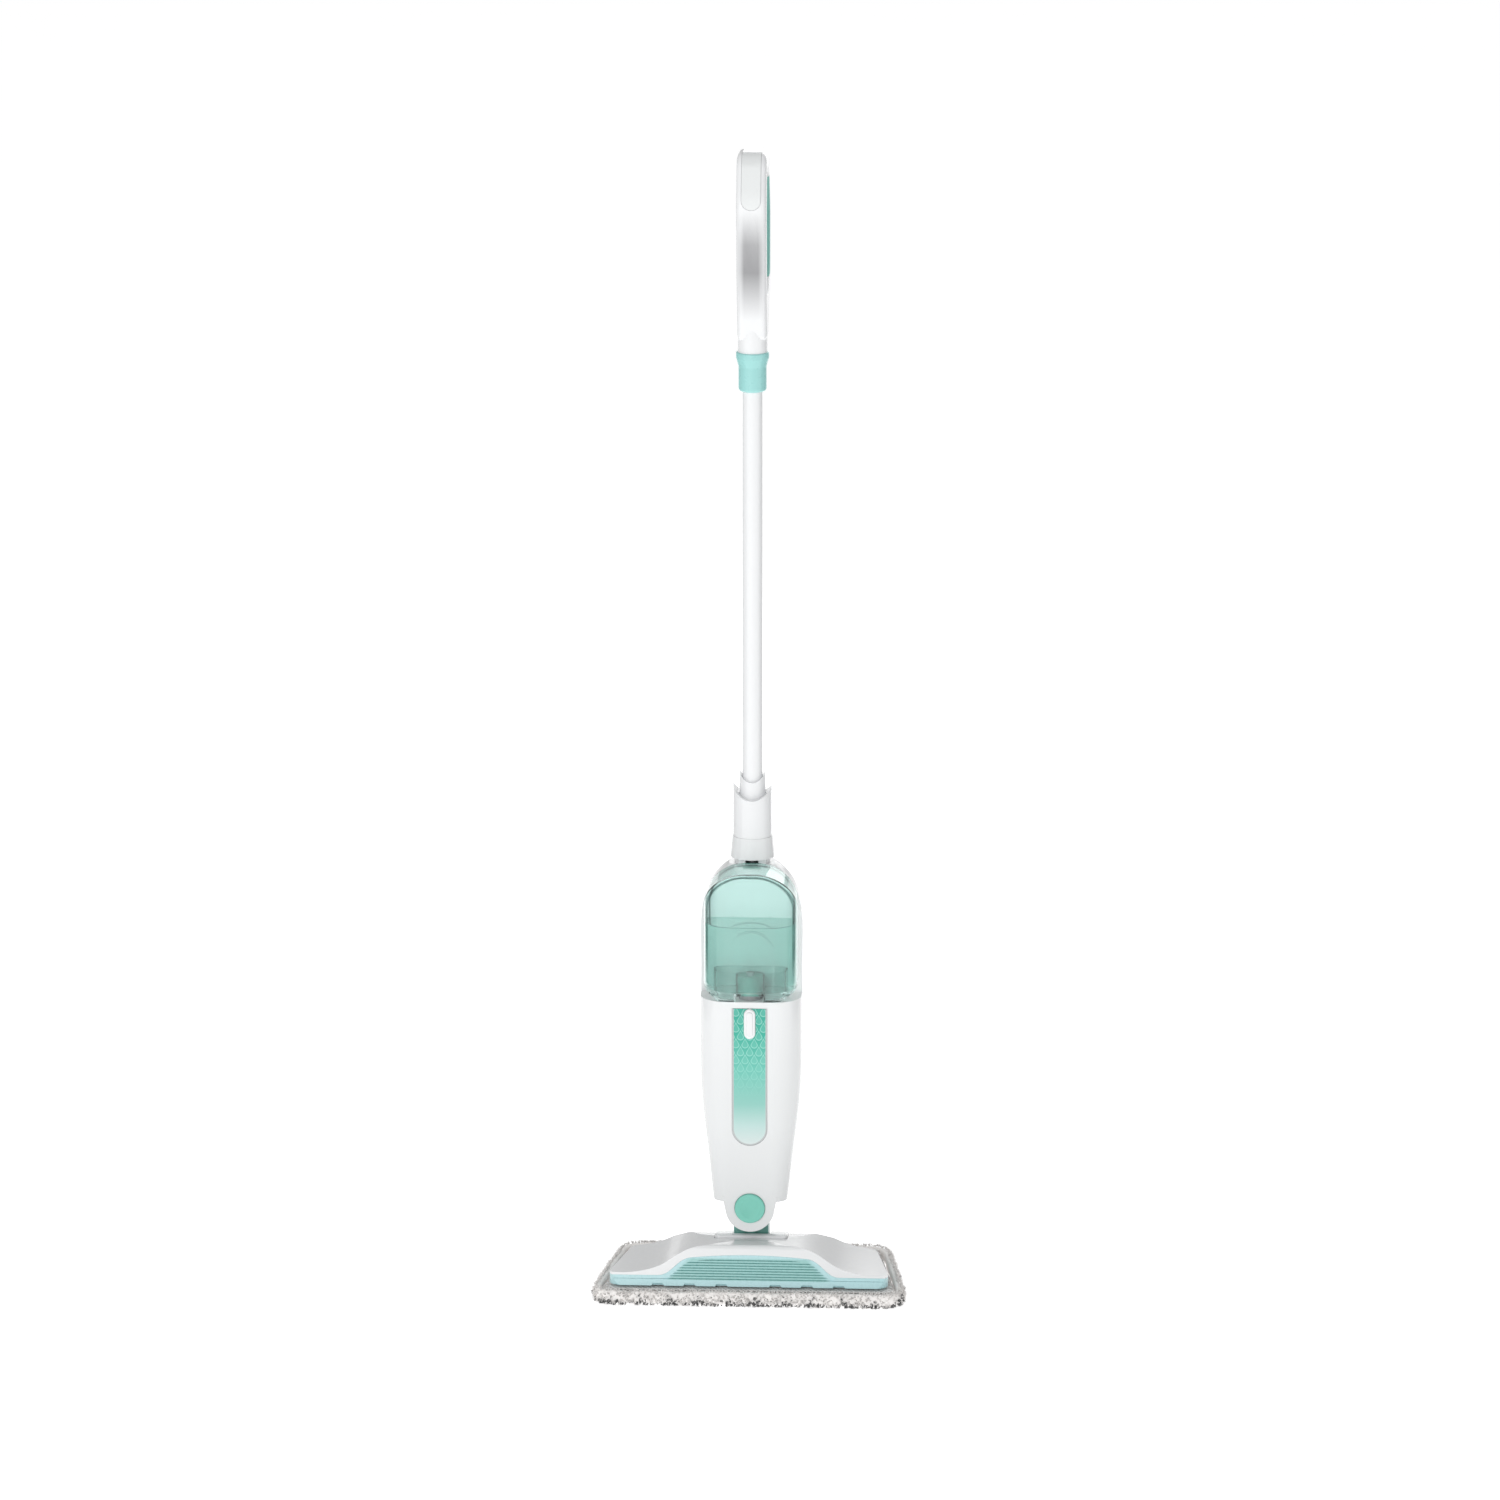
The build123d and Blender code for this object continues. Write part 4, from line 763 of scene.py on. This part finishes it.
def sole_pile(material):
    """Underside of the pad: rows of looped pile under a flat back."""
    low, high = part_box("pad_sole")
    step = 2.5 * MM
    flat_back = high.z - 0.2 * MM
    front_margin = 3.0 * MM
    columns = int((high.x - low.x) / step)
    rows = int((high.y - low.y) / step)
    back_share = (high.x - 21.0 * MM) / high.x
    verts, faces = [], []
    for is_back in (False, True):
        for j in range(rows + 1):
            v = j / rows
            half = high.x * (1.0 + (back_share - 1.0) * v) + front_margin * (1 - v)
            y = low.y + (high.y - low.y) * v
            for i in range(columns + 1):
                u = i / columns
                x = -half + 2 * half * u
                verts.append((x, y, flat_back if is_back else sole_height(x, y)))
    width = columns + 1
    offset = width * (rows + 1)
    for j in range(rows):
        for i in range(columns):
            a = j * width + i
            faces.append((a, a + width, a + width + 1, a + 1))
            faces.append((offset + a, offset + a + 1, offset + a + width + 1, offset + a + width))
    for i in range(columns):
        faces.append((i, i + 1, offset + i + 1, offset + i))
        a = rows * width + i
        faces.append((a + 1, a, offset + a, offset + a + 1))
    for j in range(rows):
        a = j * width
        faces.append((a + width, a, offset + a, offset + a + width))
        b = a + columns
        faces.append((b, b + width, offset + b + width, offset + b))
    return new_piece("pad_sole_pile", verts, faces, material)


def hexagon(net, x, y, z, radius):
    """The six corners of a hexagon, the first one towards +Y."""
    corners = []
    for k in range(6):
        angle = math.pi / 3 * k
        corners.append(net.verts.new((x + math.sin(angle) * radius, y + math.cos(angle) * radius, z)))
    return corners


def top_net(material):
    """Open knitted net on top of the pad, one strand thick."""
    low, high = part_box("pad_top_mesh")
    cell = 5.2 * MM
    hole = 1.55 * MM
    strand = 0.5 * MM
    margin = 2.0 * MM
    weld = 0.2 * MM
    level = high.z - strand
    front = high.x + margin
    back = front - PAD_TAPER + margin
    net = bmesh.new()
    rows = int((high.y - low.y) / cell * 2 / math.sqrt(3)) + 1
    for j in range(rows):
        y = low.y + cell * 0.5 + j * cell * math.sqrt(3) / 2
        if y > high.y - cell * 0.4:
            break
        share = (y - low.y) / (high.y - low.y)
        half = front + (back - front) * share - cell * 0.3
        count = int(half / cell)
        for i in range(-count, count + 1):
            x = (i + 0.5 * (j % 2)) * cell
            if abs(x) > half - cell * 0.4:
                continue
            outer = hexagon(net, x, y, level, cell / math.sqrt(3))
            inner = hexagon(net, x, y, level - strand, hole)
            for k in range(6):
                n = (k + 1) % 6
                net.faces.new((outer[k], inner[k], inner[n], outer[n]))
    bmesh.ops.remove_doubles(net, verts=net.verts, dist=weld)
    bmesh.ops.recalc_face_normals(net, faces=net.faces)
    mesh = bpy.data.meshes.new("pad_top_net")
    net.to_mesh(mesh)
    net.free()
    piece = new_object("pad_top_net", mesh)
    piece.data.materials.append(material)
    piece.modifiers.new("strand", "SOLIDIFY").thickness = strand
    return piece


def make_pad(made):
    """The soft pad: border roll, its pile, sole and top net, in place of the plain CAD solids."""
    cream = made["microfibre"]
    dark = fibre_cloth("charcoal_microfibre", (0.11, 0.11, 0.11), scale=2200.0, drift=0.25)
    roll = border_roll(cream)
    cream_pile, dark_pile = pile_strands(cream, dark)
    sole = sole_pile(fibre_cloth("sole_microfibre", (0.60, 0.57, 0.55), scale=1500.0))
    net = top_net(made["pad_mesh"])
    for piece, slot in (
        (roll, "microfibre"),
        (cream_pile, "microfibre"),
        (dark_pile, "microfibre"),
        (sole, "microfibre"),
        (net, "pad_mesh"),
    ):
        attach(piece, "mop_head")
    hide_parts("pad_border")
    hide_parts("pad_sole")
    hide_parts("pad_top_mesh")


# ---------------------------------------------------------------- water in the tank
def water_outline(low, high):
    """The tank's inside seen from above: rounded front corners and a straight back."""
    wall = 2.5 * MM
    corner = 27.5 * MM
    steps = 14
    half = high.x - wall
    front = low.y + wall
    back = high.y - wall
    outline = []
    for side in (-1, 1):
        centre = Vector((side * (half - corner), front + corner))
        for k in range(steps + 1):
            share = k / steps if side < 0 else 1 - k / steps
            angle = math.radians(90 * share)
            across = side * math.cos(angle) * corner
            outline.append(Vector((centre.x + across, centre.y - math.sin(angle) * corner)))
    outline.append(Vector((half, back)))
    outline.append(Vector((-half, back)))
    return outline, Vector((0, (front + back) / 2))


def make_water():
    """Body of water with a slightly raised rim where it meets the wall."""
    low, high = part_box("tank_shell")
    outline, middle = water_outline(low, high)
    floor = low.z + 8.3 * MM
    rings = [
        (floor, 0.93),
        (floor + 3 * MM, 0.985),
        (floor + 8 * MM, 1.0),
        (WATER_LEVEL - 2 * MM, 1.0),
        (WATER_LEVEL + 0.6 * MM, 1.0),
        (WATER_LEVEL - 0.1 * MM, 0.97),
        (WATER_LEVEL - 0.4 * MM, 0.85),
        (WATER_LEVEL - 0.45 * MM, 0.4),
    ]
    verts = []
    for z, scale in rings:
        for point in outline:
            spot = middle + (point - middle) * scale
            verts.append((spot.x, spot.y, z))
    faces = capped_tube(0, len(rings), len(outline))
    water = new_piece("tank_water", verts, faces, water_look("water", (0.66, 0.84, 0.80)), smooth=False)
    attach(water, "tank")
    for clear in (water, frame["nodes"]["tank_shell"]):
        clear.visible_shadow = False


# ---------------------------------------------------------------- springs
def squashing_spring(node, body):
    """Copy of a spring, attached to a body in place of the CAD spring."""
    source = frame["nodes"][node]
    spring = new_object(node + "_coil", source.data.copy())
    spring.matrix_world = source.matrix_world.copy()
    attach(spring, body)
    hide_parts(node)
    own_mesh(spring)


def make_springs():
    """The three coil springs, each copied and attached to one body."""
    squashing_spring("release_spring", "body")
    squashing_spring("valve_spring", "tank_cap")
    squashing_spring("pump_spring", "body")


make_camera()
materials = dress_nodes()
make_studio()
make_pad(materials)
make_water()
make_springs()
